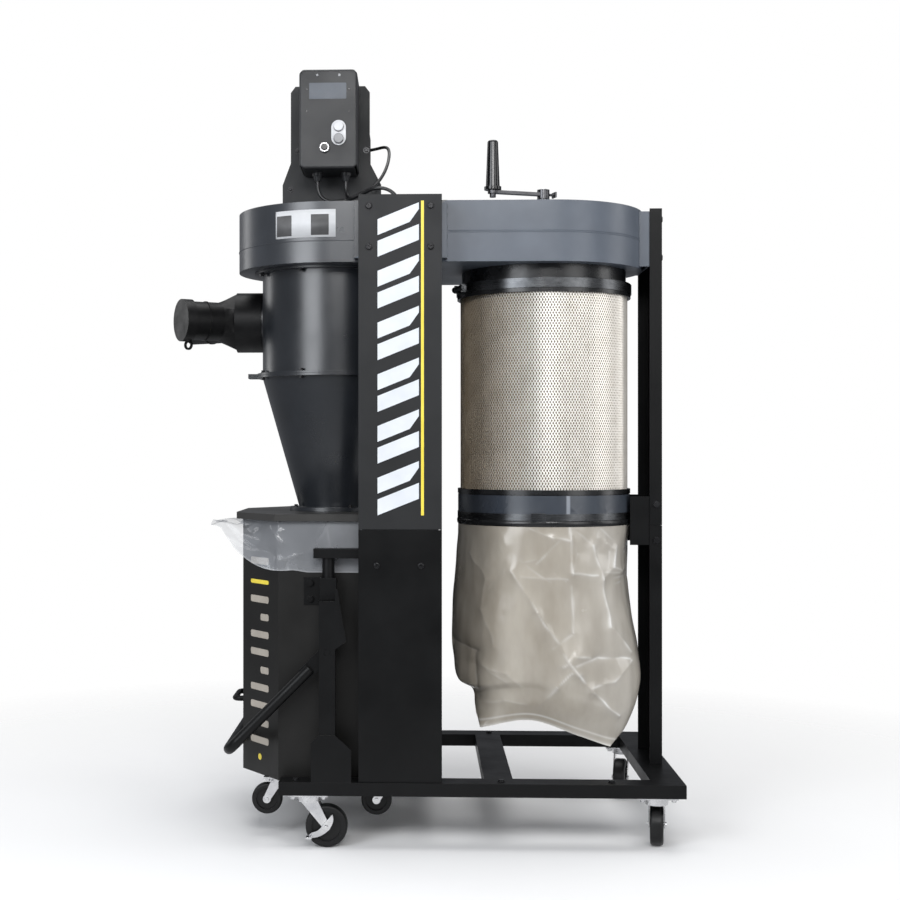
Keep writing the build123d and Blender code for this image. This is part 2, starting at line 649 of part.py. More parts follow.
def button(x, z, stem, head, out):
    shape = pin_y(x, z, PLATE_FRONT - 3 - out, PLATE_FRONT - 3, head)
    shape = fillet(shape.faces().sort_by(Axis.Y)[0].edges(), 1.5)
    return shape + pin_y(x, z, PLATE_FRONT - 3, BOX_FRONT + 12, stem)


# ---------------------------------------------------------------- casters
class Caster:
    """One swivel caster, built with its wheel trailing along its own +X, then set in place."""

    def __init__(self, height, wheel_radius, wheel_width, trail, plate_x, plate_y, race):
        self.height, self.radius, self.width = height, wheel_radius, wheel_width
        self.trail, self.plate_x, self.plate_y, self.race = trail, plate_x, plate_y, race
        self.plate_low = height - 4
        self.race_low = height - 16 if wheel_radius > 45 else height - 11
        self.crown_low = self.race_low - 4
        self.axle = 5

    def plate(self):
        shape = Pos(0, 0, self.height - 2) * Box(self.plate_x, self.plate_y, 4)
        shape += disc(0, 0, self.race_low, self.plate_low, self.race)
        shape -= disc(0, 0, self.race_low - 1, self.plate_low, 8 + RUNNING)
        for x in (-1, 1):
            for y in (-1, 1):
                spot = (x * (self.plate_x / 2 - 10), y * (self.plate_y / 2 - 9), self.plate_low)
                shape += hex_head(*spot, "-z", size=10, height=5)
        return shape

    def fork(self, pedal_pin=False):
        half = self.width / 2 + 1
        crown = disc(0, 0, self.crown_low, self.race_low, self.race - 1)
        cheeks = [(-self.race * 0.72, self.race_low), (self.race * 0.8, self.race_low),
                  (self.trail + 10, self.radius), (self.trail - 10, self.radius)]
        fork = crown + disc(0, 0, self.race_low, self.plate_low - 1, 8)
        fork += block(-self.race * 0.72, self.race * 0.8, -half - 3, half + 3, self.crown_low, self.race_low)
        for side in (-1, 1):
            inner, outer = sorted((side * half, side * (half + 3)))
            fork += plate_xz(cheeks, inner, outer) + pin_y(self.trail, self.radius, inner, outer, 10)
        front = -half - (12 if pedal_pin else 6)
        return fork + pin_y(self.trail, self.radius, front, half + 6, self.axle)

    def wheel(self):
        tyre = pin_y(0, 0, -self.width / 2, self.width / 2, self.radius)
        tyre = fillet(tyre.edges(), self.width * 0.22)
        for side in (-1, 1):
            dish = pin_y(0, 0, side * self.width / 2, side * (self.width / 2 - 5), self.radius * 0.7)
            tyre -= dish
            tyre += pin_y(0, 0, side * self.width / 2, side * (self.width / 2 - 5), 13)
        tyre -= pin_y(0, 0, -self.width, self.width, self.axle + RUNNING)
        return Pos(self.trail, 0, self.radius) * tyre


base_caster = Caster(130, 51, 32, 43, 95, 67, 28)
bin_caster = Caster(95, 38, 25, 27, 68, 56, 20)
BASE_CASTERS = {"front_left": (-256, -296, 0), "front_right": (580, -296, 80),
                "rear_left": (-256, 296, -5), "rear_right": (580, 296, -104)}
BIN_CASTERS = {"front_left": (-340, -200, 180), "front_right": (-68, -200, 180),
               "rear_left": (-340, 200, 172), "rear_right": (-68, 200, 186)}
BIN_CASTER_FLOOR = BIN_BOTTOM - bin_caster.height


def place(shape, spot, floor=0):
    x, y, turn = spot
    return Pos(x, y, floor) * Rot(0, 0, turn) * shape


def plates(caster, spots, floor=0):
    return group(*[Pos(x, y, floor) * caster.plate() for x, y, turn in spots.values()])


def brake_pedal():
    """The front left caster's brake: a curved plate that turns on the axle bolt."""
    x0, z0 = base_caster.trail, base_caster.radius
    front = -base_caster.width / 2 - 1 - 3 - 0.5
    lower = Spline((15, 31), (17, 16), (8, -4), (-10, -19), (-44, -25))
    upper = Spline((-44, -25), (-36, -14), (-22, -9), (-9, 4), (4, 19), (15, 31))
    pedal = Rot(90, 0, 0) * extrude(make_face([lower, upper]), amount=3)
    pedal += block(-48, -34, -16, 0, -26, -21)
    pedal = Pos(x0, front, z0) * pedal
    return pedal - pin_y(x0, z0, front - 30, front + 5, base_caster.axle + RUNNING)


# ---------------------------------------------------------------- cords
MOTOR_CABLE_ROUTE = [
    (MOTOR_GLAND_X, GLAND_Y, GLAND_TIP), (MOTOR_GLAND_X, GLAND_Y, 1611), (-233, -166, 1592),
    (-214, -169, 1582), (-186, -171, 1583), (-156, -170, 1590), (-124, -163, 1604), (-96, -148, 1629),
    (-77, -126, 1660), (-66, -98, 1691), (-60, -68, 1714), (-59, -40, 1731), (-59, -12, 1742),
    (-71, 9, 1748), (-92, 21, 1750), (JUNCTION_FACE, 21, 1750)]

POWER_CORD_ROUTE = [
    (POWER_GLAND_X, GLAND_Y, GLAND_TIP), (POWER_GLAND_X, GLAND_Y, 1611), (-169, -175, 1593),
    (-162, -193, 1583), (-150, -223, 1583), (-130, -254, 1587), (-104, -286, 1593), (-76, -297, 1594),
    (-51, -303, 1581), (-36, -306, 1556), (-33, -306, 1522), (-31, -307, 1468), (-27, -307, 1376),
    (-19, -306, 1254), (-9, -305, 1128), (2, -305, 1000),
    (12, -306, 868), (21, -307, 744), (29, -307, 620), (36, -306, 498), (41, -305, 380),
    (43, -306, 290), (43, -304, 232), (43, -290, 198), (42, -261, 178), (41, -222, 169),
    (40, -160, 168), (40, -76, 167.5), (42, 10, 167.5), (46, 84, 168), (52, 138, 171),
    (59, 180, 172), (65, 214, 160), (68, 236, 132), (69, 245, 94), (68, 250, 56),
    (66, 266, 24), (62, 294, 6), (53, 328, 4.5), (35, 356, 4.5), (5, 371.7, 4.6), (-28, 371.7, 4.6)]

COIL_X = -78
COIL_Y = 430
COIL_RADIUS = 54                 # to the middle of the turns
COIL_STUB = 50
COIL_TURN = 58.3                 # radius of the outer turn, which the cord enters and leaves
COIL_LOW = 4.6                   # heights of the two layers
COIL_HIGH = 13.4


def coil():
    half = CORD_DIAMETER / 2
    outer, inner = COIL_RADIUS + CORD_DIAMETER, COIL_RADIUS - CORD_DIAMETER
    turns = ring(COIL_X, COIL_Y, 0, 2 * CORD_DIAMETER, outer, inner)
    turns += pin_x(COIL_Y - COIL_TURN, COIL_LOW, COIL_X, COIL_X + COIL_STUB, half)
    return turns + pin_x(COIL_Y + COIL_TURN, COIL_HIGH, COIL_X, COIL_X + COIL_STUB, half)


def power_plug():
    y, z = COIL_Y + COIL_TURN, COIL_HIGH
    start = COIL_X + COIL_STUB
    relief = Pos(start + 15, y, z) * Rot(0, 90, 0) * Cone(5.5, 8.5, 30)
    body = Pos(start + 49, y, z) * Box(38, 30, 2 * z)
    plug = relief + fillet(body.edges().filter_by(Axis.X), 8)
    for side in (-1, 1):
        plug += Pos(start + 77, y + side * 6.5, z + 3) * Box(18, 1.6, 6.5)
    return plug + pin_x(y, z - 7, start + 67, start + 88, 2.4)


# ---------------------------------------------------------------- all nodes
lower_seam = SEAM_Z - SEAM_GAP / 2
upper_seam = SEAM_Z + SEAM_GAP / 2
parts["base_frame"] = base_frame()
parts["front_column_lower"] = column_channel(RAIL_TOP, lower_seam)
parts["front_column_upper"] = column_channel(upper_seam, COLUMN_TOP)
parts["rear_column"] = group(mirrored(column_channel(RAIL_TOP, lower_seam)),
                             mirrored(column_channel(upper_seam, COLUMN_TOP)))
parts["right_post"] = group(post_channel(RAIL_TOP, lower_seam), post_channel(upper_seam, COLUMN_TOP))
parts["frame_brackets"] = frame_brackets()
parts["fasteners"] = fasteners()
parts["fan_housing"] = fan_housing()
parts["filter_plenum"] = filter_plenum()
parts["motor_stand"] = motor_stand()
parts["motor_body"] = motor_body()
parts["impeller"] = impeller()
parts["cyclone_barrel"] = cyclone_barrel()
parts["cyclone_cone"] = cyclone_cone()
parts["vortex_tube"] = vortex_tube()
parts["inlet_adapter"] = inlet_adapter()
parts["port_cap"] = port_cap()
parts["bin_lid"] = bin_lid()
parts["collection_bin"] = collection_bin()
parts["bin_bag"] = bin_bag()
parts["bin_handle"] = bin_handle()
parts["lift_posts"] = lift_posts()
parts["lift_carriages"] = lift_carriages()
parts["lift_lever"] = lift_lever()
parts["filter_top_ring"] = filter_top_ring()
parts["filter_media"] = filter_media()
parts["filter_mesh"] = ring(FILTER_X, 0, FILTER_BOTTOM, FILTER_TOP, MESH_RADIUS, MESH_RADIUS - 1.5)
parts["filter_bottom_ring"] = filter_bottom_ring()
parts["filter_bag"] = filter_bag()
parts["band_clamps"] = band_clamps()
parts["cleaning_rotor"] = cleaning_rotor()
parts["crank_arm"] = crank_arm()
parts["crank_handle"] = crank_handle()
parts["control_box"] = control_box()
parts["start_button"] = button(SWITCH_X, START_Z, BUTTON_STEM, BUTTON_HEAD, 5)
parts["stop_button"] = button(SWITCH_X, STOP_Z, BUTTON_STEM, BUTTON_HEAD, 7)
parts["reset_button"] = button(RESET_X, RESET_Z, RESET_STEM, RESET_STEM + 2, 4)
parts["base_caster_plates"] = plates(base_caster, BASE_CASTERS)
parts["bin_caster_plates"] = plates(bin_caster, BIN_CASTERS, BIN_CASTER_FLOOR)
for name, spot in BASE_CASTERS.items():
    braked = name == "front_left"
    parts[f"base_fork_{name}"] = place(base_caster.fork(pedal_pin=braked), spot)
    parts[f"base_wheel_{name}"] = place(base_caster.wheel(), spot)
for name, spot in BIN_CASTERS.items():
    parts[f"bin_fork_{name}"] = place(bin_caster.fork(), spot, BIN_CASTER_FLOOR)
    parts[f"bin_wheel_{name}"] = place(bin_caster.wheel(), spot, BIN_CASTER_FLOOR)
parts["brake_pedal"] = place(brake_pedal(), BASE_CASTERS["front_left"])
parts["motor_cable"] = cord_tube(MOTOR_CABLE_ROUTE, CABLE_DIAMETER, "motor_cable")
parts["power_cord"] = cord_tube(POWER_CORD_ROUTE, CORD_DIAMETER, "power_cord")
parts["power_cord_coil"] = coil()
parts["power_plug"] = power_plug()

os.makedirs("parts", exist_ok=True)
for name, shape in parts.items():
    export_step(shape, f"parts/{name}.step")
print(len(parts), "nodes")
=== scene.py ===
import math
import random

import bmesh
import bpy
from mathutils import Matrix, Vector, noise


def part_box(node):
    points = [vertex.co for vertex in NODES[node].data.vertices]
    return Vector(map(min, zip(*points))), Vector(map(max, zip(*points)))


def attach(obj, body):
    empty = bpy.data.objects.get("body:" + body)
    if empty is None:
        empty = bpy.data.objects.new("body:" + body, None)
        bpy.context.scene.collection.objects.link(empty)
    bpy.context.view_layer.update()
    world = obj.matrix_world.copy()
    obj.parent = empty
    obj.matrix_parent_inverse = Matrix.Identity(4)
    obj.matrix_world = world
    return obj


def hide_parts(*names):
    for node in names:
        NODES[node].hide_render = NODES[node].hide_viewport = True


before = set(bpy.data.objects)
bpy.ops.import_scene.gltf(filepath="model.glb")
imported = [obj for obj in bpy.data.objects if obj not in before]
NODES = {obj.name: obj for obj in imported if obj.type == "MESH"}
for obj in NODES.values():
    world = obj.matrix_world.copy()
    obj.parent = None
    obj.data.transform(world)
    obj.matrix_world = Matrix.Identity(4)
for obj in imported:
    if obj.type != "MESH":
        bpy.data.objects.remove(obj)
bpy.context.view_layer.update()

# Looks for the cyclone dust collector. Metres, in the frame of the CAD model: +X to the filter's
# side, +Y to the back, +Z up. Most places are worked out from the boxes of the CAD nodes; the cords, the stand's
# bolts, the switch box's face and the camera are given as numbers.

MM = 0.001
FRONT = Vector((0, -1, 0))
UP = Vector((0, 0, 1))


# ---------------------------------------------------------------- places
def box_of(node):
    low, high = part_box(node)
    return low, high, (low + high) / 2


UPPER_LOW, UPPER_HIGH, UPPER_MID = box_of("front_column_upper")
HOUSING_LOW, HOUSING_HIGH, HOUSING_MID = box_of("fan_housing")
PLENUM_LOW, PLENUM_HIGH, PLENUM_MID = box_of("filter_plenum")
MESH_LOW, MESH_HIGH, MESH_MID = box_of("filter_mesh")
BAG_LOW, BAG_HIGH, BAG_MID = box_of("filter_bag")
BIN_LOW, BIN_HIGH, BIN_MID = box_of("collection_bin")
LID_LOW, LID_HIGH, LID_MID = box_of("bin_lid")
BARREL_LOW, BARREL_HIGH, BARREL_MID = box_of("vortex_tube")
BOX_LOW, BOX_HIGH, BOX_MID = box_of("control_box")
CYCLONE = Vector((BARREL_MID.x, BARREL_MID.y, 0))
FILTER = Vector((MESH_MID.x, MESH_MID.y, 0))
MESH_RADIUS = (MESH_HIGH.x - MESH_LOW.x) / 2
HOUSING_RADIUS = HOUSING_HIGH.y
CHAMFER_X = 103 * MM             # the bin's cut corners
CHAMFER_Y = 137 * MM


# ---------------------------------------------------------------- node helpers
def add_node(material, kind, **values):
    node = material.node_tree.nodes.new(kind)
    for key, value in values.items():
        if hasattr(node, key):
            setattr(node, key, value)
        else:
            node.inputs[key].default_value = value
    return node


def join(material, source, target):
    material.node_tree.links.new(source, target)


def shader_of(material):
    return material.node_tree.nodes["Principled BSDF"]


def new_material(name, roughness=0.5, metallic=0.0, specular=0.5, coat=0.0, alpha=1.0):
    material = bpy.data.materials.new(name)
    material.use_nodes = True
    shader = shader_of(material)
    shader.inputs["Roughness"].default_value = roughness
    shader.inputs["Metallic"].default_value = metallic
    shader.inputs["Specular IOR Level"].default_value = specular
    shader.inputs["Coat Weight"].default_value = coat
    shader.inputs["Coat Roughness"].default_value = 0.12
    shader.inputs["Alpha"].default_value = alpha
    return material


def object_place(material, stretch=(1, 1, 1)):
    place = add_node(material, "ShaderNodeTexCoord")
    scale = add_node(material, "ShaderNodeMapping")
    scale.inputs["Scale"].default_value = stretch
    join(material, place.outputs["Object"], scale.inputs["Vector"])
    return scale.outputs["Vector"]


def noise_of(material, scale, detail=3.0, stretch=(1, 1, 1), rough=0.55):
    source = add_node(material, "ShaderNodeTexNoise", Scale=scale, Detail=detail, Roughness=rough)
    join(material, object_place(material, stretch), source.inputs["Vector"])
    return source.outputs["Fac"]


def blotches(material, dark, light, scale, detail=3.0, stretch=(1, 1, 1)):
    """Two colours that drift into each other over the surface."""
    ramp = add_node(material, "ShaderNodeValToRGB")
    ramp.color_ramp.elements[0].position = 0.3
    ramp.color_ramp.elements[1].position = 0.72
    ramp.color_ramp.elements[0].color = (*dark, 1)
    ramp.color_ramp.elements[1].color = (*light, 1)
    join(material, noise_of(material, scale, detail, stretch), ramp.inputs["Fac"])
    join(material, ramp.outputs["Color"], shader_of(material).inputs["Base Color"])


def uneven_gloss(material, low, high, scale, stretch=(1, 1, 1)):
    spread = add_node(material, "ShaderNodeMapRange")
    spread.inputs["From Min"].default_value = 0.3
    spread.inputs["From Max"].default_value = 0.7
    spread.inputs["To Min"].default_value = low
    spread.inputs["To Max"].default_value = high
    join(material, noise_of(material, scale, 4.0, stretch), spread.inputs["Value"])
    join(material, spread.outputs["Result"], shader_of(material).inputs["Roughness"])


def bumps(material, layers, edge=0.0):
    """Each layer is (scale, strength, depth in metres, stretch). A hard edge is rounded off by edge."""
    below = None
    if edge:
        below = add_node(material, "ShaderNodeBevel", samples=4, Radius=edge).outputs["Normal"]
    for scale, strength, depth, stretch in layers:
        bump = add_node(material, "ShaderNodeBump", Strength=strength, Distance=depth)
        join(material, noise_of(material, scale, 4.0, stretch), bump.inputs["Height"])
        if below is not None:
            join(material, below, bump.inputs["Normal"])
        below = bump.outputs["Normal"]
    join(material, below, shader_of(material).inputs["Normal"])


EVEN = (1, 1, 1)


def painted(name, dark, light, gloss=(0.34, 0.46), peel=0.25, specular=0.5):
    """Powder coat: an even film with fine orange peel."""
    material = new_material(name, roughness=gloss[0], specular=specular)
    blotches(material, dark, light, 7.0)
    uneven_gloss(material, gloss[0], gloss[1], 11.0)
    bumps(material, [(420.0, peel, 0.12 * MM, EVEN), (6.0, 0.35, 0.5 * MM, EVEN)], 1.6 * MM)
    return material


def metal(name, dark, light, gloss, stretch=(1, 1, 60), scale=30.0, metallic=1.0, strength=0.2):
    """Bare or plated metal, with fine marks that run one way."""
    material = new_material(name, roughness=gloss[0], metallic=metallic)
    blotches(material, dark, light, 25.0, 5.0)
    uneven_gloss(material, gloss[0], gloss[1], scale, stretch)
    bumps(material, [(scale * 6, strength, 0.05 * MM, stretch), (60.0, 0.15, 0.1 * MM, EVEN)], 0.6 * MM)
    return material


def moulded(name, dark, light, gloss, grain=700.0, strength=0.2, specular=0.5, coat=0.0):
    """Moulded plastic or rubber with a fine grain."""
    material = new_material(name, roughness=gloss[0], specular=specular, coat=coat)
    blotches(material, dark, light, 18.0)
    uneven_gloss(material, gloss[0], gloss[1], 22.0)
    bumps(material, [(grain, strength, 0.1 * MM, EVEN)], 0.8 * MM)
    return material


def printed(name, dark, light, gloss=(0.34, 0.46)):
    """Print, labels and thin plates: an even film with a faint grain."""
    material = new_material(name, roughness=gloss[0])
    blotches(material, dark, light, 18.0)
    uneven_gloss(material, gloss[0], gloss[1], 22.0)
    bumps(material, [(500.0, 0.1, 0.05 * MM, EVEN)])
    return material


# ---------------------------------------------------------------- materials
def film(name, dark, light, gloss, alpha, crease_white_and_highlight):
    """Thin polythene film, glossy and cloudy. A point attribute of the mesh whitens its creases, partly as the film's
    own whitened creases and partly as painted highlights along them.
    """
    material = new_material(name, roughness=gloss[0], specular=0.55)
    uneven_gloss(material, gloss[0], gloss[1], 9.0)
    shader = shader_of(material)
    crease_and_highlight = add_node(material, "ShaderNodeAttribute", attribute_name="crease_and_highlight")
    ramp = add_node(material, "ShaderNodeValToRGB")
    ramp.color_ramp.elements[0].position = 0.3
    ramp.color_ramp.elements[1].position = 0.72
    ramp.color_ramp.elements[0].color = (*dark, 1)
    ramp.color_ramp.elements[1].color = (*light, 1)
    join(material, noise_of(material, 4.5, 4.0, (1.6, 1.6, 0.7)), ramp.inputs["Fac"])
    whiten = add_node(material, "ShaderNodeMix", data_type="RGBA")
    tint = [item for item in whiten.inputs if item.type == "RGBA"]
    tint[1].default_value = (*crease_white_and_highlight, 1)
    join(material, crease_and_highlight.outputs["Fac"], whiten.inputs["Factor"])
    join(material, ramp.outputs["Color"], tint[0])
    colour = [item for item in whiten.outputs if item.type == "RGBA"][0]
    join(material, colour, shader.inputs["Base Color"])
    cloud = add_node(material, "ShaderNodeMapRange")
    cloud.inputs["To Min"].default_value = alpha[0]
    cloud.inputs["To Max"].default_value = alpha[1]
    join(material, noise_of(material, 14.0, 4.0, (1, 1, 0.6)), cloud.inputs["Value"])
    cover = add_node(material, "ShaderNodeMath", operation="MAXIMUM")
    join(material, cloud.outputs["Result"], cover.inputs[0])
    join(material, crease_and_highlight.outputs["Fac"], cover.inputs[1])
    join(material, cover.outputs["Value"], shader.inputs["Alpha"])
    bumps(material, [(22.0, 0.25, 0.8 * MM, (1, 1, 0.5))])
    return material


MATERIALS = {
    "frame_black": painted("frame_black", (0.0022, 0.0023, 0.0025), (0.004, 0.0042, 0.0045), (0.34, 0.46), 0.25, 0.2),
    "panel_black": painted("panel_black", (0.013, 0.0135, 0.0145), (0.019, 0.0197, 0.021), (0.44, 0.56), 0.35, 0.3),
    "housing_grey": painted("housing_grey", (0.026, 0.029, 0.0345), (0.038, 0.0425, 0.0505), (0.27, 0.34), 0.15, 0.85),
    "plenum_grey": painted("plenum_grey", (0.085, 0.1, 0.124), (0.115, 0.134, 0.165), (0.32, 0.42), 0.25, 0.5),
    "cyclone_grey": painted("cyclone_grey", (0.010, 0.0118, 0.0145), (0.016, 0.0185, 0.023), (0.27, 0.34), 0.15, 0.8),
    "bin_brown": painted("bin_brown", (0.0068, 0.0065, 0.006), (0.0105, 0.01, 0.0092), (0.36, 0.48), 0.25, 0.3),
    "lid_grey": painted("lid_grey", (0.03, 0.029, 0.0275), (0.042, 0.041, 0.039), (0.34, 0.46), 0.25, 0.4),
    "box_grey": painted("box_grey", (0.011, 0.0116, 0.013), (0.017, 0.018, 0.02), (0.34, 0.46), 0.25, 0.45),
    "bolt_black": metal("bolt_black", (0.012, 0.012, 0.013), (0.03, 0.03, 0.032), (0.22, 0.36), EVEN, 60.0, 0.6),
    "motor_black": painted("motor_black", (0.012, 0.0125, 0.0135), (0.02, 0.021, 0.0225), (0.38, 0.55), 0.5),
    "bare_steel": metal("bare_steel", (0.4, 0.4, 0.41), (0.62, 0.62, 0.63), (0.2, 0.36)),
    "zinc": metal("zinc", (0.5, 0.5, 0.52), (0.8, 0.8, 0.8), (0.16, 0.34), EVEN, 40.0),
    "clamp_dark": metal("clamp_dark", (0.06, 0.062, 0.066), (0.14, 0.145, 0.15), (0.22, 0.36)),
    "inlet_black": moulded("inlet_black", (0.0025, 0.0025, 0.0027), (0.0045, 0.0045, 0.0048), (0.36, 0.5), 700.0, 0.2, 0.2),
    "grip_black": moulded("grip_black", (0.004, 0.004, 0.0045), (0.008, 0.008, 0.009), (0.1, 0.2), 300.0, 0.08),
    "ring_black": moulded("ring_black", (0.006, 0.0063, 0.007), (0.011, 0.0115, 0.0125), (0.22, 0.34), 300.0, 0.1),
    "rubber_black": moulded("rubber_black", (0.003, 0.003, 0.0031), (0.006, 0.006, 0.0062), (0.36, 0.5), 700.0, 0.15, 0.3),
    "cable_black": moulded("cable_black", (0.006, 0.006, 0.0065), (0.012, 0.012, 0.0125), (0.28, 0.4), 500.0, 0.1),
    "button_white": moulded("button_white", (0.5, 0.51, 0.53), (0.6, 0.61, 0.63), (0.2, 0.3), 300.0, 0.06),
    "button_grey": moulded("button_grey", (0.16, 0.165, 0.175), (0.22, 0.225, 0.235), (0.2, 0.3), 300.0, 0.06),
    "button_black": moulded("button_black", (0.006, 0.006, 0.006), (0.012, 0.012, 0.012), (0.2, 0.3), 300.0, 0.06),
    "mark_pale": printed("mark_pale", (0.69, 0.72, 0.765), (0.76, 0.79, 0.83)),
    "mark_yellow": printed("mark_yellow", (0.84, 0.66, 0.06), (0.92, 0.75, 0.09)),
    "mark_beige": printed("mark_beige", (0.36, 0.325, 0.28), (0.46, 0.42, 0.365)),
    "plate_blue": printed("plate_blue", (0.045, 0.056, 0.075), (0.06, 0.074, 0.097), (0.28, 0.4)),
    # Filter paper: its own tan, darkened further as painted shade for the depths of the pleats behind the screen.
    "paper_tan_with_painted_shade": moulded("paper_tan_with_painted_shade", (0.33, 0.265, 0.188), (0.45, 0.375, 0.28), (0.75, 0.9), 900.0, 0.5, 0.2),
    "strand": metal("strand", (0.84, 0.79, 0.71), (0.95, 0.91, 0.84), (0.34, 0.46), EVEN, 50.0, 0.35, 0.1),
    "label_white": printed("label_white", (0.56, 0.57, 0.585), (0.64, 0.65, 0.665), (0.4, 0.55)),
    "weld": metal("weld", (0.09, 0.1, 0.11), (0.24, 0.26, 0.28), (0.3, 0.5), EVEN, 120.0, 0.4, 0.3),
    "bag_film": film("bag_film", (0.3, 0.264, 0.212), (0.52, 0.478, 0.41), (0.1, 0.28), (0.84, 0.97), (0.84, 0.83, 0.8)),
    "clear_film": film("clear_film", (0.36, 0.375, 0.4), (0.54, 0.555, 0.58), (0.06, 0.16), (0.3, 0.55), (0.9, 0.91, 0.93)),
    "band_film": film("band_film", (0.03, 0.036, 0.048), (0.06, 0.072, 0.09), (0.24, 0.38), (0.9, 1.0), (0.4, 0.43, 0.48)),
    "arm_dark": metal("arm_dark", (0.05, 0.05, 0.053), (0.12, 0.12, 0.125), (0.24, 0.36)),
    "label_grey": printed("label_grey", (0.06, 0.06, 0.062), (0.11, 0.11, 0.112), (0.4, 0.55)),
}

NODE_FINISH = {
    "base_frame": "frame_black", "front_column_lower": "frame_black", "front_column_upper": "panel_black",
    "rear_column": "panel_black", "right_post": "frame_black", "frame_brackets": "housing_grey",
    "fasteners": "bolt_black", "fan_housing": "housing_grey", "filter_plenum": "plenum_grey",
    "motor_stand": "panel_black", "motor_body": "motor_black", "impeller": "bare_steel",
    "cyclone_barrel": "cyclone_grey", "cyclone_cone": "cyclone_grey", "vortex_tube": "cyclone_grey",
    "inlet_adapter": "inlet_black", "port_cap": "inlet_black", "bin_lid": "lid_grey",
    "collection_bin": "bin_brown", "bin_handle": "inlet_black", "lift_posts": "frame_black",
    "lift_carriages": "frame_black", "lift_lever": "frame_black", "filter_top_ring": "ring_black",
    "filter_bottom_ring": "ring_black", "band_clamps": "clamp_dark", "cleaning_rotor": "bare_steel",
    "crank_arm": "arm_dark", "crank_handle": "grip_black", "control_box": "box_grey",
    "start_button": "button_white", "stop_button": "button_grey", "reset_button": "button_black",
    "base_caster_plates": "zinc", "bin_caster_plates": "zinc", "brake_pedal": "zinc",
    "power_plug": "rubber_black",
}
for corner in ("front_left", "front_right", "rear_left", "rear_right"):
    for group in ("base", "bin"):
        NODE_FINISH[f"{group}_fork_{corner}"] = "zinc"
        NODE_FINISH[f"{group}_wheel_{corner}"] = "rubber_black"


def dress_cad_nodes():
    """Each CAD node that stays gets its finish."""
    for node, finish in NODE_FINISH.items():
        piece = NODES[node]
        piece.data.materials.clear()
        piece.data.materials.append(MATERIALS[finish])


def finish_brackets():
    """The housing brackets share their housing's colour; the splices lower down are frame black."""
    brackets = NODES["frame_brackets"].data
    for finish in ("plenum_grey", "frame_black"):
        brackets.materials.append(MATERIALS[finish])
    for face in brackets.polygons:
        if face.center.z < HOUSING_LOW.z - 40 * MM:
            face.material_index = 2
        elif face.center.x > UPPER_MID.x:
            face.material_index = 1


# ---------------------------------------------------------------- mesh helpers
def add_piece(name, mesh, body, finish, smooth_angle=40):
    piece = bpy.data.objects.new(name, mesh)
    bpy.context.scene.collection.objects.link(piece)
    mesh.materials.append(MATERIALS[finish])
    mesh.shade_smooth()
    mesh.set_sharp_from_angle(angle=math.radians(smooth_angle))
    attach(piece, body)
    return piece


def mesh_from(name, points, faces):
    mesh = bpy.data.meshes.new(name)
    mesh.from_pydata([tuple(point) for point in points], [], faces)
    mesh.validate()
    mesh.update()
    return mesh


def grid_mesh(name, rows, closed):
    """A sheet through rows of points. A closed sheet joins each row's end to its start."""
    count = len(rows[0])
    points = [point for row in rows for point in row]
    faces = []
    for row in range(len(rows) - 1):
        for step in range(count if closed else count - 1):
            a, b = row * count + step, row * count + (step + 1) % count
            faces.append((a, b, b + count, a + count))
    return mesh_from(name, points, faces)


def prism_mesh(name, outlines, place, normal, thickness, bevel=0.0):
    """Flat plates: each outline is a list of points in the face's own two axes."""
    work = bmesh.new()
    for outline in outlines:
        corners = [work.verts.new(place(u, v)) for u, v in outline]
        face = work.faces.new(corners)
        made = bmesh.ops.extrude_face_region(work, geom=[face])
        raised = [item for item in made["geom"] if isinstance(item, bmesh.types.BMVert)]
        bmesh.ops.translate(work, verts=raised, vec=normal * thickness)
    bmesh.ops.recalc_face_normals(work, faces=work.faces)
    if bevel:
        bmesh.ops.bevel(work, geom=work.edges[:], offset=bevel, segments=2, affect="EDGES", clamp_overlap=True)
    mesh = bpy.data.meshes.new(name)
    work.to_mesh(mesh)
    work.free()
    return mesh


def rounded(u0, u1, v0, v1, radius, steps=5):
    """Corner points of a rectangle with rounded corners."""
    points = []
    for cu, cv, start in ((u1 - radius, v1 - radius, 0), (u0 + radius, v1 - radius, 90),
                          (u0 + radius, v0 + radius, 180), (u1 - radius, v0 + radius, 270)):
        for step in range(steps + 1):
            angle = math.radians(start + 90 * step / steps)
            points.append((cu + radius * math.cos(angle), cv + radius * math.sin(angle)))
    return points


def front_face(y):
    return lambda u, v: Vector((u, y, v))


# ---------------------------------------------------------------- cords
def cord_curve(name, points, diameter):
    curve = bpy.data.curves.new(name, "CURVE")
    curve.dimensions = "3D"
    curve.bevel_depth = diameter / 2
    curve.bevel_resolution = 4
    curve.resolution_u = 10
    curve.use_fill_caps = True
    spline = curve.splines.new("NURBS")
    spline.points.add(len(points) - 1)
    for control, point in zip(spline.points, points):
        control.co = (*point, 1)
    spline.order_u = 3
    spline.use_endpoint_u = True
    curve.materials.append(MATERIALS["cable_black"])
    piece = bpy.data.objects.new(name, curve)
    bpy.context.scene.collection.objects.link(piece)
    return piece


CABLE_DIAMETER = 0.008
CORD_DIAMETER = 0.009

MOTOR_CABLE_ROUTE = [
    (-0.244, -0.165, 1.634), (-0.244, -0.165, 1.611), (-0.233, -0.166, 1.592), (-0.214, -0.169, 1.582),
    (-0.186, -0.171, 1.583), (-0.156, -0.170, 1.590), (-0.124, -0.163, 1.604), (-0.096, -0.148, 1.629),
    (-0.078, -0.125, 1.660), (-0.069, -0.098, 1.690), (-0.066, -0.068, 1.716), (-0.067, -0.040, 1.736),
    (-0.072, -0.014, 1.749), (-0.083, 0.007, 1.755), (-0.100, 0.019, 1.753), (-0.118, 0.021, 1.750)]

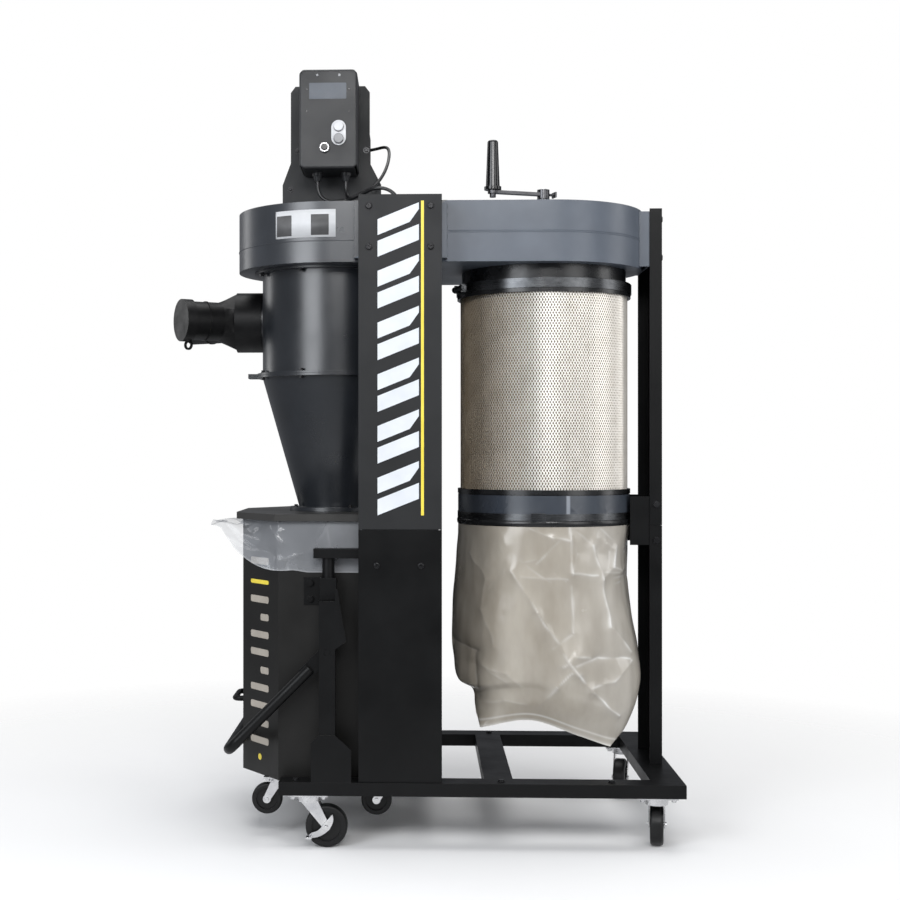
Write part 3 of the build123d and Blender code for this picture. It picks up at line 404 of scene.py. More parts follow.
POWER_CORD_ROUTE = [
    (-0.173, -0.165, 1.634), (-0.173, -0.165, 1.611), (-0.169, -0.175, 1.593), (-0.162, -0.193, 1.583),
    (-0.150, -0.223, 1.583), (-0.130, -0.254, 1.587), (-0.104, -0.286, 1.593), (-0.076, -0.297, 1.594),
    (-0.051, -0.303, 1.581), (-0.036, -0.306, 1.556), (-0.033, -0.306, 1.522), (-0.031, -0.307, 1.468),
    (-0.027, -0.307, 1.376), (-0.019, -0.306, 1.254), (-0.009, -0.305, 1.128), (0.002, -0.305, 1.000),
    (0.012, -0.306, 0.868), (0.021, -0.307, 0.744), (0.029, -0.307, 0.620), (0.036, -0.306, 0.498),
    (0.041, -0.305, 0.380), (0.043, -0.306, 0.290), (0.043, -0.304, 0.232), (0.043, -0.290, 0.198),
    (0.042, -0.261, 0.178), (0.041, -0.222, 0.169), (0.040, -0.160, 0.168), (0.040, -0.076, 0.1675),
    (0.042, 0.010, 0.1675), (0.046, 0.084, 0.168), (0.052, 0.138, 0.171), (0.059, 0.180, 0.172),
    (0.065, 0.214, 0.160), (0.068, 0.236, 0.132), (0.069, 0.245, 0.094), (0.068, 0.250, 0.056),
    (0.066, 0.266, 0.024), (0.062, 0.294, 0.006), (0.053, 0.328, 0.0045), (0.035, 0.356, 0.0045),
    (0.005, 0.3717, 0.0046), (-0.028, 0.3717, 0.0046)]

COIL_CENTRE = (-0.078, 0.430)
COIL_OUTER = 0.0583
COIL_INNER = 0.0493
COIL_LOW = 0.0046
COIL_HIGH = 0.0134
COIL_TURNS = 3.5
COIL_POINTS = 24                 # in each turn
COIL_STUB = 0.050


def eased(value, start, end):
    share = min(1.0, max(0.0, (value - start) / (end - start)))
    return share * share * (3 - 2 * share)


def coil_points():
    """Two layers of two turns each: out low, in low, in high, out high, with one change at a time."""
    points = []
    for index in range(round(COIL_TURNS * COIL_POINTS) + 1):
        turn = index / COIL_POINTS
        inward = eased(turn, 0.85, 1.0) - eased(turn, 2.5, 2.65)
        radius = COIL_OUTER + (COIL_INNER - COIL_OUTER) * inward
        height = COIL_LOW + (COIL_HIGH - COIL_LOW) * eased(turn, 1.65, 1.85)
        angle = math.radians(-90 - 360 * turn)
        points.append((COIL_CENTRE[0] + radius * math.cos(angle), COIL_CENTRE[1] + radius * math.sin(angle), height))
    return points


def cords():
    cable = cord_curve("motor_lead", MOTOR_CABLE_ROUTE, CABLE_DIAMETER)
    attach(cable, "frame")
    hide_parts("motor_cable")

    end = (COIL_CENTRE[0] + COIL_STUB, COIL_CENTRE[1] + COIL_OUTER, COIL_HIGH)
    route = POWER_CORD_ROUTE + coil_points() + [(end[0] - COIL_STUB / 2, end[1], end[2]), end]
    lead = cord_curve("power_lead", route, CORD_DIAMETER)
    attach(lead, "frame")
    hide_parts("power_cord", "power_cord_coil")


# ---------------------------------------------------------------- printed marks
def column_marks():
    """Pale slanted bars and a yellow stripe on the upper front panel."""
    face = UPPER_LOW.y - 0.1 * MM
    left, right = UPPER_LOW.x + 46 * MM, UPPER_LOW.x + 145 * MM
    low, high = UPPER_LOW.z + 34 * MM, UPPER_HIGH.z - 20 * MM
    bars, gap, slant, cut = 6, 34 * MM, 40 * MM, 22 * MM
    height = (high - low - slant - gap * (bars - 1)) / bars
    outlines = []
    for index in range(bars):
        bottom = low + index * (height + gap)
        top = bottom + height
        notch = left + 30 * MM if index % 2 else right - 30 * MM
        middle = (bottom + top) / 2
        rise = slant * (notch - left) / (right - left)
        outlines.append([(left, bottom), (right, bottom + slant), (right, middle - 7 * MM + slant),
                         (notch if index % 2 else left, middle - 7 * MM + (rise if index % 2 else 0))]
                        + ([(left, middle - 7 * MM)] if index % 2 else []))
        outlines.append([(left, middle + 7 * MM), (right - cut, middle + 7 * MM + slant * (1 - cut / (right - left))),
                         (right, middle + 7 * MM + slant + cut), (right, top + slant), (left, top)])
    pale = prism_mesh("column_bars", outlines, front_face(face), FRONT, 0.3 * MM)
    add_piece("column_bars", pale, "frame", "mark_pale")
    stripe = [[(left + 104 * MM, low), (left + 111 * MM, low), (left + 111 * MM, high + 4 * MM),
               (left + 104 * MM, high + 4 * MM)]]
    yellow = prism_mesh("column_stripe", stripe, front_face(face), FRONT, 0.3 * MM)
    add_piece("column_stripe", yellow, "frame", "mark_yellow")


def bin_marks():
    """A ladder of pale bars with a yellow bar and dot on the bin's front left face."""
    start = Vector((BIN_LOW.x + CHAMFER_X, BIN_LOW.y, 0))
    end = Vector((BIN_LOW.x, BIN_LOW.y + CHAMFER_Y, 0))
    along = (end - start).normalized()
    normal = along.cross(UP).normalized()
    if normal.x > 0:
        normal = -normal

    def place(u, v):
        return start + along * u + UP * v + normal * (0.1 * MM)

    near, far = 46 * MM, 132 * MM
    top = BIN_HIGH.z - 92 * MM
    shapes = []
    for rung in range(10):
        v1 = top - (0 if rung == 0 else 52 * MM + 44 * MM * rung)
        u1 = near + (far - near) * (0.45 if rung % 3 == 2 else 1.0)
        shapes.append(rounded(near, u1, v1 - 17 * MM, v1, 5 * MM, 3))
    pale = prism_mesh("bin_stripe", shapes, place, normal, 0.3 * MM)
    add_piece("bin_stripe", pale, "bin", "mark_beige")
    dot_v = top - 506 * MM
    yellow = prism_mesh("bin_accent", [rounded(near, far, top - 66 * MM, top - 56 * MM, 4 * MM, 3),
                                       rounded(near + 34 * MM, near + 50 * MM, dot_v, dot_v + 16 * MM, 8 * MM, 4)],
                        place, normal, 0.3 * MM)
    add_piece("bin_accent", yellow, "bin", "mark_yellow")


def housing_label():
    """A blank label that follows the fan housing's curve: a pale card with two plain grey panels."""
    def curved(name, from_x, to_x, z0, z1, out, finish):
        columns, radius = 24, HOUSING_RADIUS + out
        rows = []
        for z in (z0, z1):
            row = []
            for step in range(columns + 1):
                x = from_x + (to_x - from_x) * step / columns - CYCLONE.x
                row.append(Vector((CYCLONE.x + x, -math.sqrt(radius ** 2 - x ** 2), z)))
            rows.append(row)
        mesh = grid_mesh(name, rows, False)
        piece = add_piece(name, mesh, "frame", finish)
        thick = piece.modifiers.new("thickness", "SOLIDIFY")
        thick.thickness = 0.2 * MM
        thick.offset = 0
        return piece

    left, right = CYCLONE.x - 138 * MM, CYCLONE.x + 21 * MM
    low, high = HOUSING_LOW.z + 62 * MM, HOUSING_HIGH.z - 20 * MM
    curved("label_card", left, right, low, high, 0.25 * MM, "label_white")
    for index, (start, width) in enumerate(((3, 38), (90, 44))):
        x = left + start * MM
        curved(f"label_panel_{index}", x, x + width * MM, low + 5 * MM, high - 12 * MM, 0.6 * MM,
               "label_grey")


def switch_box_plates():
    """The blank name plate, the oval switch plate, the reset collar and the small screws."""
    face = -0.225                    # the box's front, behind its buttons
    plate = [rounded(BOX_MID.x - 47 * MM, BOX_MID.x + 45 * MM, BOX_HIGH.z - 74 * MM, BOX_HIGH.z - 34 * MM, 2 * MM, 2)]
    mesh = prism_mesh("name_plate", plate, front_face(face - 0.1 * MM), FRONT, 0.6 * MM, 0.15 * MM)
    add_piece("name_plate", mesh, "frame", "plate_blue")
    start_low, start_high, start_mid = box_of("start_button")
    stop_low, stop_high, stop_mid = box_of("stop_button")
    reset_low, reset_high, reset_mid = box_of("reset_button")
    middle = (start_mid.z + stop_mid.z) / 2
    hole, half_u, half_v = (start_high.x - start_low.x) / 2 + 0.5 * MM, 18 * MM, 31 * MM
    outline = rounded(start_mid.x - half_u, start_mid.x + half_u, middle - half_v, middle + half_v, half_u, 14)
    rounds = [[(start_mid.x + hole * math.cos(turn * math.pi / 18), z + hole * math.sin(turn * math.pi / 18))
               for turn in range(36)] for z in (start_mid.z, stop_mid.z)]
    plate = holed_plate("switch_plate", outline, rounds, face - 3.03 * MM, 0.5 * MM)
    add_piece("switch_plate", plate, "frame", "button_white")
    collar = oval_ring("reset_collar", reset_mid.x, reset_mid.z, 12.5 * MM, 12.5 * MM, 8.6 * MM, 8.6 * MM,
                       face - 3.05 * MM, 3.5 * MM, 12)
    add_piece("reset_collar", collar, "frame", "bare_steel")
    work = bmesh.new()
    for x in (BOX_LOW.x + 45 * MM, BOX_HIGH.x - 44 * MM):
        add_disc(work, Vector((x, face, BOX_HIGH.z - 15 * MM)), FRONT, 3.4 * MM, 1.6 * MM)
    screws = bpy.data.meshes.new("box_screws")
    work.to_mesh(screws)
    work.free()
    add_piece("box_screws", screws, "frame", "clamp_dark")
    work = bmesh.new()
    for x in (BOX_LOW.x + 19 * MM, BOX_HIGH.x - 21 * MM):
        for drop in (50, 104):
            add_disc(work, Vector((x, face, BOX_HIGH.z - drop * MM)), FRONT, 2.2 * MM, 0.5 * MM)
    dots = bpy.data.meshes.new("box_dots")
    work.to_mesh(dots)
    work.free()
    add_piece("box_dots", dots, "frame", "button_black")


def add_disc(work, place, normal, radius, height, segments=20, top=None):
    """A short cylinder or cone standing on a face."""
    turn = normal.to_track_quat("Z", "Y").to_matrix().to_4x4()
    shift = Matrix.Translation(place + normal * (height / 2)) @ turn
    bmesh.ops.create_cone(work, cap_ends=True, segments=segments, radius1=radius,
                          radius2=radius if top is None else top, depth=height, matrix=shift)


def holed_plate(name, outline, holes, y, thickness):
    """A thin plate on a front face, with holes through it."""
    curve = bpy.data.curves.new(name, "CURVE")
    curve.dimensions = "2D"
    curve.fill_mode = "BOTH"
    curve.extrude = thickness / 2
    for points in [outline] + holes:
        spline = curve.splines.new("POLY")
        spline.points.add(len(points) - 1)
        spline.use_cyclic_u = True
        for control, (u, v) in zip(spline.points, points):
            control.co = (u, v, 0, 1)
    drawn = bpy.data.objects.new(name, curve)
    bpy.context.scene.collection.objects.link(drawn)
    bpy.context.view_layer.update()
    mesh = bpy.data.meshes.new_from_object(drawn.evaluated_get(bpy.context.evaluated_depsgraph_get()))
    bpy.data.objects.remove(drawn)
    mesh.transform(Matrix.Translation((0, y - thickness / 2, 0)) @ Matrix.Rotation(math.pi / 2, 4, "X"))
    mesh.materials.clear()
    return mesh


def oval_ring(name, x, z, half_u, half_v, hole_u, hole_v, y, height, teeth=0):
    """A flat ring on the front face, oval or round. Teeth notch its outer edge."""
    steps = 72
    work = bmesh.new()
    loops = []
    for radius_u, radius_v, out in ((half_u, half_v, 0), (half_u, half_v, height * 0.7),
                                    (half_u * 0.94, half_v * 0.96, height), (hole_u, hole_v, height),
                                    (hole_u, hole_v, 0)):
        loop = []
        for step in range(steps):
            angle = 2 * math.pi * step / steps
            straight = radius_v - radius_u
            notch = 0.9 if teeth and step * teeth // (steps // 2) % 2 and radius_u > hole_u else 1.0
            lift = straight if math.sin(angle) > 0 else -straight
            loop.append(work.verts.new((x + radius_u * notch * math.cos(angle), y - out,
                                        z + radius_u * notch * math.sin(angle) + (lift if straight > 0 else 0))))
        loops.append(loop)
    for inner, outer in zip(loops, loops[1:] + loops[:1]):
        for step in range(steps):
            following = (step + 1) % steps
            work.faces.new((inner[step], inner[following], outer[following], outer[step]))
    bmesh.ops.recalc_face_normals(work, faces=work.faces)
    mesh = bpy.data.meshes.new(name)
    work.to_mesh(mesh)
    work.free()
    return mesh


# ---------------------------------------------------------------- filter
PLEATS = 150
CELL_WIDTH = 7.4 * MM
CELL_HEIGHT = 12.9 * MM
STRAND_WIDTH = 2.5 * MM


def filter_pleats():
    """The pleated paper: a folded sheet with rounded tips, from ring to ring."""
    outer, inner = MESH_RADIUS - 4 * MM, MESH_RADIUS - 46 * MM
    rows = []
    for z in (MESH_LOW.z, MESH_MID.z, MESH_HIGH.z):
        row = []
        for pleat in range(PLEATS):
            for share, radius in ((-0.08, outer - 0.8 * MM), (0, outer), (0.08, outer - 0.8 * MM),
                                  (0.42, inner + 0.8 * MM), (0.5, inner), (0.58, inner + 0.8 * MM)):
                angle = 2 * math.pi * (pleat + share) / PLEATS
                row.append(FILTER + Vector((radius * math.cos(angle), radius * math.sin(angle), z)))
        rows.append(row)
    piece = add_piece("pleated_paper", grid_mesh("pleated_paper", rows, True), "frame", "paper_tan_with_painted_shade",
                      60)
    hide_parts("filter_media")


def filter_screen():
    """Expanded metal: a lattice of tall diamonds, whose flat strands all lean to one side."""
    columns = round(2 * math.pi * MESH_RADIUS / CELL_WIDTH)
    lines = round((MESH_HIGH.z - MESH_LOW.z) / (CELL_HEIGHT / 2))
    pitch = (MESH_HIGH.z - MESH_LOW.z) / lines
    tilt = 0.5 * MM

    def knot(column, line, side):
        angle = 2 * math.pi * (column + (0.5 if line % 2 else 0.0)) / columns + side * STRAND_WIDTH / 2 / MESH_RADIUS
        radius = MESH_RADIUS - 0.65 * MM + side * tilt
        return FILTER + Vector((radius * math.cos(angle), radius * math.sin(angle), MESH_LOW.z + line * pitch))

    points, faces = [], []
    index = {}
    for line in range(lines + 1):
        for column in range(columns):
            index[column, line] = len(points)
            points.append(knot(column, line, -1))
            points.append(knot(column, line, 1))
    for line in range(lines):
        for column in range(columns):
            here = index[column, line]
            shift = 1 if line % 2 else 0
            for other in ((column + shift) % columns, (column + shift - 1) % columns):
                there = index[other, line + 1]
                faces.append((here, there, there + 1, here + 1))
    piece = add_piece("expanded_screen", mesh_from("expanded_screen", points, faces), "frame", "strand",
                      30)
    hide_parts("filter_mesh")


# ---------------------------------------------------------------- film
def mark_creases_and_highlights(mesh, values):
    """Stores how white each point's crease is, partly as whitened film and partly as painted highlight, for the film's
    material.
    """
    mark = mesh.attributes.new("crease_and_highlight", "FLOAT", "POINT")
    mark.data.foreach_set("value", values)


def fold_at(folds, u, v, wide):
    """(lift, whiteness) at a point of a sheet, from folds given as ((u, v), (u, v), height). The whiteness is partly
    the film's whitened crease and partly painted highlight.
    """
    lift, white_and_highlight = 0.0, 0.0
    for (u0, v0), (u1, v1), height in folds:
        across, down = u1 - u0, v1 - v0
        span = across * across + down * down
        along = min(1.0, max(0.0, ((u - u0) * across + (v - v0) * down) / span))
        away = math.hypot(u - u0 - along * across, v - v0 - along * down)
        if away < 5 * wide:
            lift += height * math.exp(-away / wide)
            patchy = max(0.05, 0.5 + 1.3 * noise.noise(Vector((u * 31, v * 31, u0 * 50))))
            # A sharp bright line with a soft halo along each crease: partly whitened film, partly painted highlight.
            shape = 0.5 * math.exp(-(away / (2.6 * MM)) ** 2) + 0.16 * math.exp(-away / (9 * MM))
            white_and_highlight = max(white_and_highlight, shape * patchy * min(1.0, abs(height) / (4 * MM)))
    return lift, white_and_highlight


def broken_line(points, height):
    """Folds that follow one another through points given in millimetres."""
    metres = [(u * MM, v * MM) for u, v in points]
    return [(a, b, height * MM) for a, b in zip(metres, metres[1:])]


def scattered(seed, count, low, high, length, height):
    """Short straight folds at random places between two corners."""
    draw = random.Random(seed)
    made = []
    for index in range(count):
        u, v = draw.uniform(low[0], high[0]), draw.uniform(low[1], high[1])
        angle, reach = draw.uniform(0, math.pi), draw.uniform(0.3, 1.0) * length
        made.append(((u, v), (u + reach * math.cos(angle), v + reach * math.sin(angle)),
                     draw.choice((-1, 1)) * draw.uniform(0.4, 1.0) * height))
    return made


def profile(table, place):
    """A smooth curve through a short table of (place, value)."""
    place = min(table[-1][0], max(table[0][0], place))
    for index in range(len(table) - 1):
        (a, low), (b, high) = table[index], table[index + 1]
        if place <= b:
            break
    before, after = table[max(0, index - 1)], table[min(len(table) - 1, index + 2)]
    leave = (high - before[1]) / (b - before[0]) * (b - a)
    arrive = (after[1] - low) / (after[0] - a) * (b - a)
    t = (place - a) / (b - a)
    return ((2 * t ** 3 - 3 * t ** 2 + 1) * low + (t ** 3 - 2 * t ** 2 + t) * leave
            + (3 * t ** 2 - 2 * t ** 3) * high + (t ** 3 - t ** 2) * arrive)


# The bag's outline in millimetres, against the share of the way down, and its bottom seam against X.
BAG_LEFT = [(0, 113.6), (0.31, 104), (0.57, 97), (0.68, 99), (0.79, 110), (0.83, 146), (0.9, 155), (1, 165)]
BAG_RIGHT = [(0, 556.4), (0.12, 556), (0.31, 551), (0.45, 560), (0.57, 571), (0.72, 576), (0.9, 535), (1, 488)]
BAG_DEPTH = [(0, 221.4), (0.3, 224), (0.55, 205), (0.75, 150), (0.9, 80), (1, 7)]
BAG_LEAN = [(0, 0), (0.3, 0), (0.55, -22), (0.75, -62), (0.9, -105), (1, -150)]
BAG_SEAM = [(160, 262), (290, 282), (413, 243), (510, 212), (600, 208)]

BAG_FOLDS = (
    broken_line([(196, 780), (214, 716), (236, 660)], 0.8)
    + broken_line([(236, 660), (300, 560), (385, 428), (401, 405), (440, 358), (507, 295)], 6)
    + broken_line([(381, 778), (385, 654), (388, 511)], 3.5)
    + broken_line([(385, 654), (450, 652)], 4)
    + broken_line([(263, 644), (373, 640)], 3)
    + broken_line([(283, 762), (338, 742), (381, 737)], 4)
    + broken_line([(440, 727), (466, 636), (479, 522)], 5)
    + broken_line([(507, 719), (495, 668), (522, 652)], 5)
    + broken_line([(491, 515), (544, 450)], 4)
    + broken_line([(436, 369), (495, 385), (546, 428)], 4)
    + broken_line([(314, 326), (350, 372), (385, 409)], 5.5)
    + broken_line([(366, 428), (398, 452), (432, 448)], 6)
    + broken_line([(140, 700), (176, 640), (172, 560), (196, 470)], 3)
    + broken_line([(170, 420), (228, 405), (262, 372)], 2.6)
    + broken_line([(93, 471), (147, 456), (144, 420), (158, 330)], -6)
    + broken_line([(157, 322), (228, 334), (283, 330)], 3)
    + broken_line([(397, 428), (456, 448), (542, 432)], -4)
    + scattered(5, 16, (0.42, 0.62), (0.55, 0.77), 0.05, 3 * MM)
    + scattered(6, 14, (0.12, 0.34), (0.45, 0.76), 0.09, 2.2 * MM))


def filter_bag_film():
    """A flat-seamed film bag: round at the strap, and flat at its bottom seam, which hangs askew."""
    around, down = 360, 260
    top = BAG_HIGH.z - 61 * MM
    rows, white_and_highlight = [], []
    for line in range(down + 1):
        share = line / down
        left, right = profile(BAG_LEFT, share) * MM, profile(BAG_RIGHT, share) * MM
        centre, half, depth = (left + right) / 2, (right - left) / 2, profile(BAG_DEPTH, share) * MM
        row = []
        for step in range(around):
            angle = 2 * math.pi * step / around
            cosine, sine = math.cos(angle), math.sin(angle)
            x, y = centre + half * cosine, depth * sine + profile(BAG_LEAN, share) * MM
            bottom = profile(BAG_SEAM, x / MM) * MM
            z = top + (bottom - top) * share
            out = Vector((cosine / half, sine / depth, 0)).normalized()
            seen_x = x if sine < 0 else 2 * FILTER.x - x
            stray = noise.noise_vector(Vector((x * 17, y * 17, z * 17))) * 7 * MM
            lift, pale = fold_at(BAG_FOLDS, seen_x + stray.x, z + stray.z, 14 * MM)
            sway = noise.noise(Vector((x * 6, y * 6, z * 5))) + 0.26 * noise.noise(Vector((x * 34, y * 34, z * 12)))
            ease = eased(share, 0.0, 0.12) * (1 - 0.6 * eased(share, 0.8, 1.0))
            row.append(Vector((x, y, z)) + out * ease * (lift + 7 * MM * sway))
            # The whiteness carries painted light: crease highlights are dimmed to the left, where the bag is in shade,
            # and the film is whitened towards its lit right side. The two seam lines are whitened too.
            seam = math.exp(-((1 - share) * down / 2.5) ** 2) + math.exp(-((0.965 - share) * down / 1.2) ** 2)
            white_and_highlight.append(min(1.0, pale * (0.25 + 0.75 * eased(x, 0.2, 0.45)) + 0.5 * seam
                             + 0.2 * eased(x, 0.32, 0.54)))
        rows.append(row)
    mesh = grid_mesh("dust_bag", rows, True)
    mark_creases_and_highlights(mesh, white_and_highlight)
    piece = add_piece("dust_bag", mesh, "frame", "bag_film", 60)
    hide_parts("filter_bag")
    bag_cuff()


def bag_cuff():
    """The bag's mouth, drawn up over the filter's bottom ring, and the rolled hem under the strap."""
    folds = scattered(31, 26, (0.0, 0.0), (1.4, 0.06), 0.1, 1.2 * MM)
    low, high = BAG_HIGH.z - 60 * MM, BAG_HIGH.z + 1 * MM
    rows, white_and_highlight = [], []
    for line in range(29):
        share = line / 28
        row = []
        for step in range(460):
            angle = 2 * math.pi * step / 460
            lift, pale = fold_at(folds, angle * 0.2215, share * (high - low), 9 * MM)
            radius = 222.2 * MM + max(0.0, lift * math.sin(math.pi * share))
            row.append(FILTER + Vector((radius * math.cos(angle), radius * math.sin(angle), high + (low - high) * share)))
            # A white tape strip; the creases' whitening is partly painted highlight.
            tape = 1.0 if abs(angle - 1.561 * math.pi) < 0.016 else 0.0
            white_and_highlight.append(max(0.55 * tape, 0.3 * pale))
        rows.append(row)
    mesh = grid_mesh("bag_cuff", rows, True)
    mark_creases_and_highlights(mesh, white_and_highlight)
    cuff = add_piece("bag_cuff", mesh, "frame", "band_film", 60)
    rows = []
    for step in range(9):
        tilt = math.pi * step / 8
        radius, z = 221.8 * MM + 3.2 * MM * math.sin(tilt), low - 8 * MM + 8 * MM * math.cos(tilt)
        rows.append([FILTER + Vector((radius * math.cos(math.radians(2 * turn)),
                                      radius * math.sin(math.radians(2 * turn)), z)) for turn in range(180)])
    roll = add_piece("bag_hem_roll", grid_mesh("bag_hem_roll", rows, True), "frame", "ring_black", 80)
    return [cuff, roll]


def octagon_walk(count):
    """Evenly spaced points round the bin's outline, with the outward direction at each."""
    x0, x1, y0, y1 = BIN_LOW.x, BIN_HIGH.x, BIN_LOW.y, BIN_HIGH.y
    corners = [Vector((x1 - CHAMFER_X, y0, 0)), Vector((x1, y0 + CHAMFER_Y, 0)), Vector((x1, y1 - CHAMFER_Y, 0)),
               Vector((x1 - CHAMFER_X, y1, 0)), Vector((x0 + CHAMFER_X, y1, 0)), Vector((x0, y1 - CHAMFER_Y, 0)),
               Vector((x0, y0 + CHAMFER_Y, 0)), Vector((x0 + CHAMFER_X, y0, 0))]
    sides = [(a, b) for a, b in zip(corners, corners[1:] + corners[:1])]
    total = sum((b - a).length for a, b in sides)
    walk = []
    for step in range(count):
        target = total * step / count
        for a, b in sides:
            length = (b - a).length
            if target <= length:
                along = (b - a) / length
                normal = Vector((along.y, -along.x, 0))
                previous_soft = min(target, length - target) / (30 * MM)
                radial = (a + along * target - Vector((BIN_MID.x, BIN_MID.y, 0))).normalized()
                blend = min(1.0, previous_soft)
                out = (normal * blend + radial * (1 - blend)).normalized()
                walk.append((a + along * target, out))
                break
            target -= length
    return walk


def liner_inside(walk):
    """The liner's rows inside the bin, from the middle of its floor up to its rim."""
    middle = Vector((BIN_MID.x, BIN_MID.y, 0))
    floor, rim = BIN_LOW.z + 12 * MM, BIN_HIGH.z + 1.2 * MM
    rows = [[middle + (place - middle) * share + UP * floor for place, out in walk] for share in (0.02, 0.5, 0.93)]
    return rows + [[place - out * 8 * MM + UP * (floor + (rim - floor) * share) for place, out in walk]
                   for share in (0.04, 0.3, 0.6, 0.9, 0.995)]


def bin_liner_skirt():
    """The clear liner, turned down over the bin's rim: it hangs in front and stands out on the left."""
    around, down = 640, 60
    walk = octagon_walk(around)
    perimeter = sum((b[0] - a[0]).length for a, b in zip(walk, walk[1:] + walk[:1]))
    folds = scattered(19, 96, (0.0, 0.0), (perimeter, 0.13), 0.12, 6 * MM)
    rows = liner_inside(walk)
    white_and_highlight = [0.05] * (around * len(rows))
    for line in range(down + 1):
        share = line / down
        row = []
        for step, (place, out) in enumerate(walk):
            left = eased(BIN_MID.x - place.x, 0.12, 0.23)
            lift_zone = eased(place.x, -0.31, -0.26) * (1 - eased(place.x, -0.12, -0.08)) * eased(-place.y, 0.18, 0.25)
            wave = noise.noise(Vector((place.x * 9, place.y * 9, share * 1.5)))
            length = (0.122 + 0.022 * wave - 0.034 * left) * (1 - lift_zone) + 0.125 * lift_zone
            spread = math.radians(5 + 76 * left * (0.35 + 0.65 * eased(share, 0.0, 0.6)))
            lift, pale = fold_at(folds, perimeter * step / around, share * length, 10 * MM)
            lift = (lift + 6 * MM * wave) * eased(share, 0, 0.2)
            forward = length * share * math.sin(spread) + lift * math.cos(spread)
            forward = max(1.5 * MM, forward) * (1 - lift_zone) + 2.4 * MM * lift_zone
            drop = length * share * math.cos(spread) - lift * math.sin(spread)
            row.append(place + out * forward + UP * (BIN_HIGH.z + 1.2 * MM - max(0.0, drop)))
            # The hem is whitened; the creases' whitening is partly painted highlight.
            hem = math.exp(-((1 - share) * down / 1.2) ** 2)
            white_and_highlight.append(min(1.0, 0.4 * pale + 0.55 * hem))
        rows.append(row)
    mesh = grid_mesh("liner_skirt", rows, True)
    mark_creases_and_highlights(mesh, white_and_highlight)
    piece = add_piece("liner_skirt", mesh, "bin", "clear_film", 60)
    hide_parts("bin_bag")


# ---------------------------------------------------------------- small frame details
def weld_beads():
    """Short stitches where the housings meet their brackets."""
    draw = random.Random(3)
    work = bmesh.new()
    low, high = HOUSING_LOW.z + 14 * MM, HOUSING_HIGH.z - 14 * MM
    front = -HOUSING_RADIUS - 1 * MM
    for x in (UPPER_LOW.x - 12 * MM, UPPER_HIGH.x + 13 * MM):
        for index in range(6):
            z = low + (high - low) * index / 5 + draw.uniform(-4, 4) * MM
            bead = Matrix.Translation((x, front, z)) @ Matrix.Diagonal((0.5, 0.6, 1.5, 1))
            bmesh.ops.create_uvsphere(work, u_segments=12, v_segments=8, radius=4 * MM, matrix=bead)
    mesh = bpy.data.meshes.new("weld_beads")
    work.to_mesh(mesh)
    work.free()
    add_piece("weld_beads", mesh, "frame", "weld", 80)


def housing_seams():
    """The folded seams round the fan housing and the filter plenum, between the two columns."""
    reach = HOUSING_RADIUS + 1.2 * MM
    for name, centre, edge, turn, finish, heights in (
            ("fan_seam", CYCLONE, UPPER_LOW.x - 16 * MM, -1, "housing_grey", (53, )),
            ("plenum_seam", FILTER, UPPER_HIGH.x + 16 * MM, 1, "plenum_grey", (72, 76))):
        path = [Vector((edge, -reach, 0))]
        path += [centre + Vector((turn * reach * math.sin(math.radians(angle)),
                                  -reach * math.cos(math.radians(angle)), 0)) for angle in range(0, 181, 2)]
        path.append(Vector((edge, reach, 0)))
        for index, height in enumerate(heights):
            rows = []
            for dz, inward in ((-1.4, 1.5), (-0.6, 0), (0.6, 0), (1.4, 1.5)):
                shrink = 1 - inward * MM / reach
                rows.append([Vector((centre.x + (point.x - centre.x) * shrink, point.y * shrink,
                                     HOUSING_LOW.z + (height + dz) * MM)) for point in path])
            add_piece(f"{name}_{index}", grid_mesh(name, rows, False), "frame", finish, 80)


def stand_bolts():
    """Bolts with washers on the motor stand's face."""
    stand_low, stand_high, stand_mid = box_of("motor_stand")
    work = bmesh.new()
    for away, z in ((88, 1724), (106, 1626)):
        for side in (-1, 1):
            place = Vector((stand_mid.x + side * away * MM, stand_low.y, z * MM))
            add_disc(work, place, FRONT, 8 * MM, 1.2 * MM, 28)
            add_disc(work, place + FRONT * 1.2 * MM, FRONT, 5 * MM, 3.5 * MM, 28, 3.8 * MM)
    mesh = bpy.data.meshes.new("stand_bolts")
    work.to_mesh(mesh)
    work.free()
    add_piece("stand_bolts", mesh, "frame", "bolt_black")


# ---------------------------------------------------------------- stage
def add_area(name, place, target, size, power, colour=(1, 1, 1)):
    light = bpy.data.lights.new(name, "AREA")
    light.shape = "RECTANGLE"
    light.size, light.size_y = size
    light.energy = power
    light.color = colour
    lamp = bpy.data.objects.new(name, light)
    lamp.location = place
    lamp.rotation_euler = (Vector(target) - Vector(place)).to_track_quat("-Z", "Y").to_euler()
    bpy.context.scene.collection.objects.link(lamp)


FLOOR_SOLID = 0.6                # the floor fades out into the white studio from here
FLOOR_EDGE = 2.4


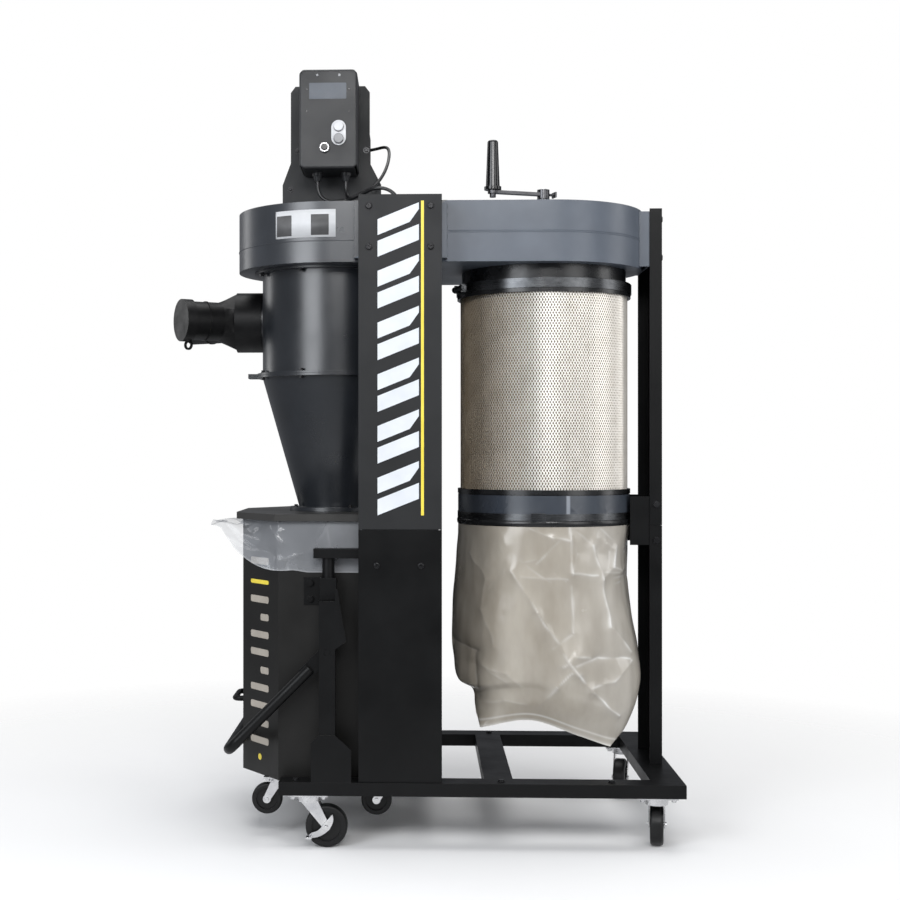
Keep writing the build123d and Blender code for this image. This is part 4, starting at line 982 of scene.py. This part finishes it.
def studio():
    world = bpy.data.worlds.new("studio")
    world.use_nodes = True
    bpy.context.scene.world = world
    nodes, links = world.node_tree.nodes, world.node_tree.links
    nodes.clear()
    output = nodes.new("ShaderNodeOutputWorld")
    mix = nodes.new("ShaderNodeMixShader")
    path = nodes.new("ShaderNodeLightPath")
    dim, bright = nodes.new("ShaderNodeBackground"), nodes.new("ShaderNodeBackground")
    dim.inputs["Color"].default_value = (0.9, 0.93, 1.0, 1)
    dim.inputs["Strength"].default_value = 0.22
    bright.inputs["Color"].default_value = (1, 1, 1, 1)
    bright.inputs["Strength"].default_value = 1.0
    links.new(path.outputs["Is Camera Ray"], mix.inputs["Fac"])
    links.new(dim.outputs["Background"], mix.inputs[1])
    links.new(bright.outputs["Background"], mix.inputs[2])
    links.new(mix.outputs["Shader"], output.inputs["Surface"])

    floor_material = new_material("studio_floor", roughness=0.8, specular=0.1)
    blotches(floor_material, (0.9, 0.9, 0.9), (0.93, 0.93, 0.93), 0.6)
    fade = add_node(floor_material, "ShaderNodeMapRange")
    fade.inputs["From Min"].default_value = FLOOR_SOLID
    fade.inputs["From Max"].default_value = FLOOR_EDGE
    fade.inputs["To Min"].default_value = 1.0
    fade.inputs["To Max"].default_value = 0.0
    reach = add_node(floor_material, "ShaderNodeVectorMath", operation="LENGTH")
    join(floor_material, object_place(floor_material), reach.inputs[0])
    join(floor_material, reach.outputs["Value"], fade.inputs["Value"])
    join(floor_material, fade.outputs["Result"], shader_of(floor_material).inputs["Alpha"])
    rim = [(FLOOR_EDGE * math.cos(turn * math.pi / 32), FLOOR_EDGE * math.sin(turn * math.pi / 32), 0)
           for turn in range(64)]
    floor = mesh_from("studio_floor", rim, [tuple(range(64))])
    plane = bpy.data.objects.new("studio_floor", floor)
    plane.location.z = -0.0005
    floor.materials.append(floor_material)
    bpy.context.scene.collection.objects.link(plane)

    add_area("key", (-2.3, -3.2, 2.0), (0, 0, 1.0), (1.8, 2.6), 88, (0.93, 0.96, 1.0))
    add_area("fill", (2.6, -2.9, 1.7), (0.2, 0, 0.9), (1.6, 2.6), 36)
    add_area("front", (0.35, -4.3, 2.9), (0.2, 0, 0.9), (2.0, 1.0), 76)
    add_area("side_right", (3.2, -0.2, 1.6), (0.3, 0, 1.0), (0.9, 2.2), 17)
    add_area("rim_left", (-3.0, 1.8, 2.0), (0, 0, 1.0), (0.8, 2.2), 12)
    add_area("top", (0, 0.2, 4.6), (0, 0, 0), (3.6, 3.6), 120)
    bpy.context.scene.view_settings.view_transform = "Standard"


def camera():
    data = bpy.data.cameras.new("camera")
    data.sensor_width = 36
    data.lens = 58.11
    data.shift_x = 0.1
    piece = bpy.data.objects.new("camera", data)
    piece.location = (0.0068, -3.8093, 0.9555)
    yaw, pitch = 0.0396, 0.001
    piece.rotation_euler = (math.pi / 2 + pitch, 0, yaw)
    bpy.context.scene.collection.objects.link(piece)
    bpy.context.scene.camera = piece


# ---------------------------------------------------------------- build
camera()
studio()
dress_cad_nodes()
finish_brackets()
cords()
column_marks()
bin_marks()
housing_label()
switch_box_plates()
filter_pleats()
filter_screen()
filter_bag_film()
bin_liner_skirt()
weld_beads()
housing_seams()
stand_bolts()
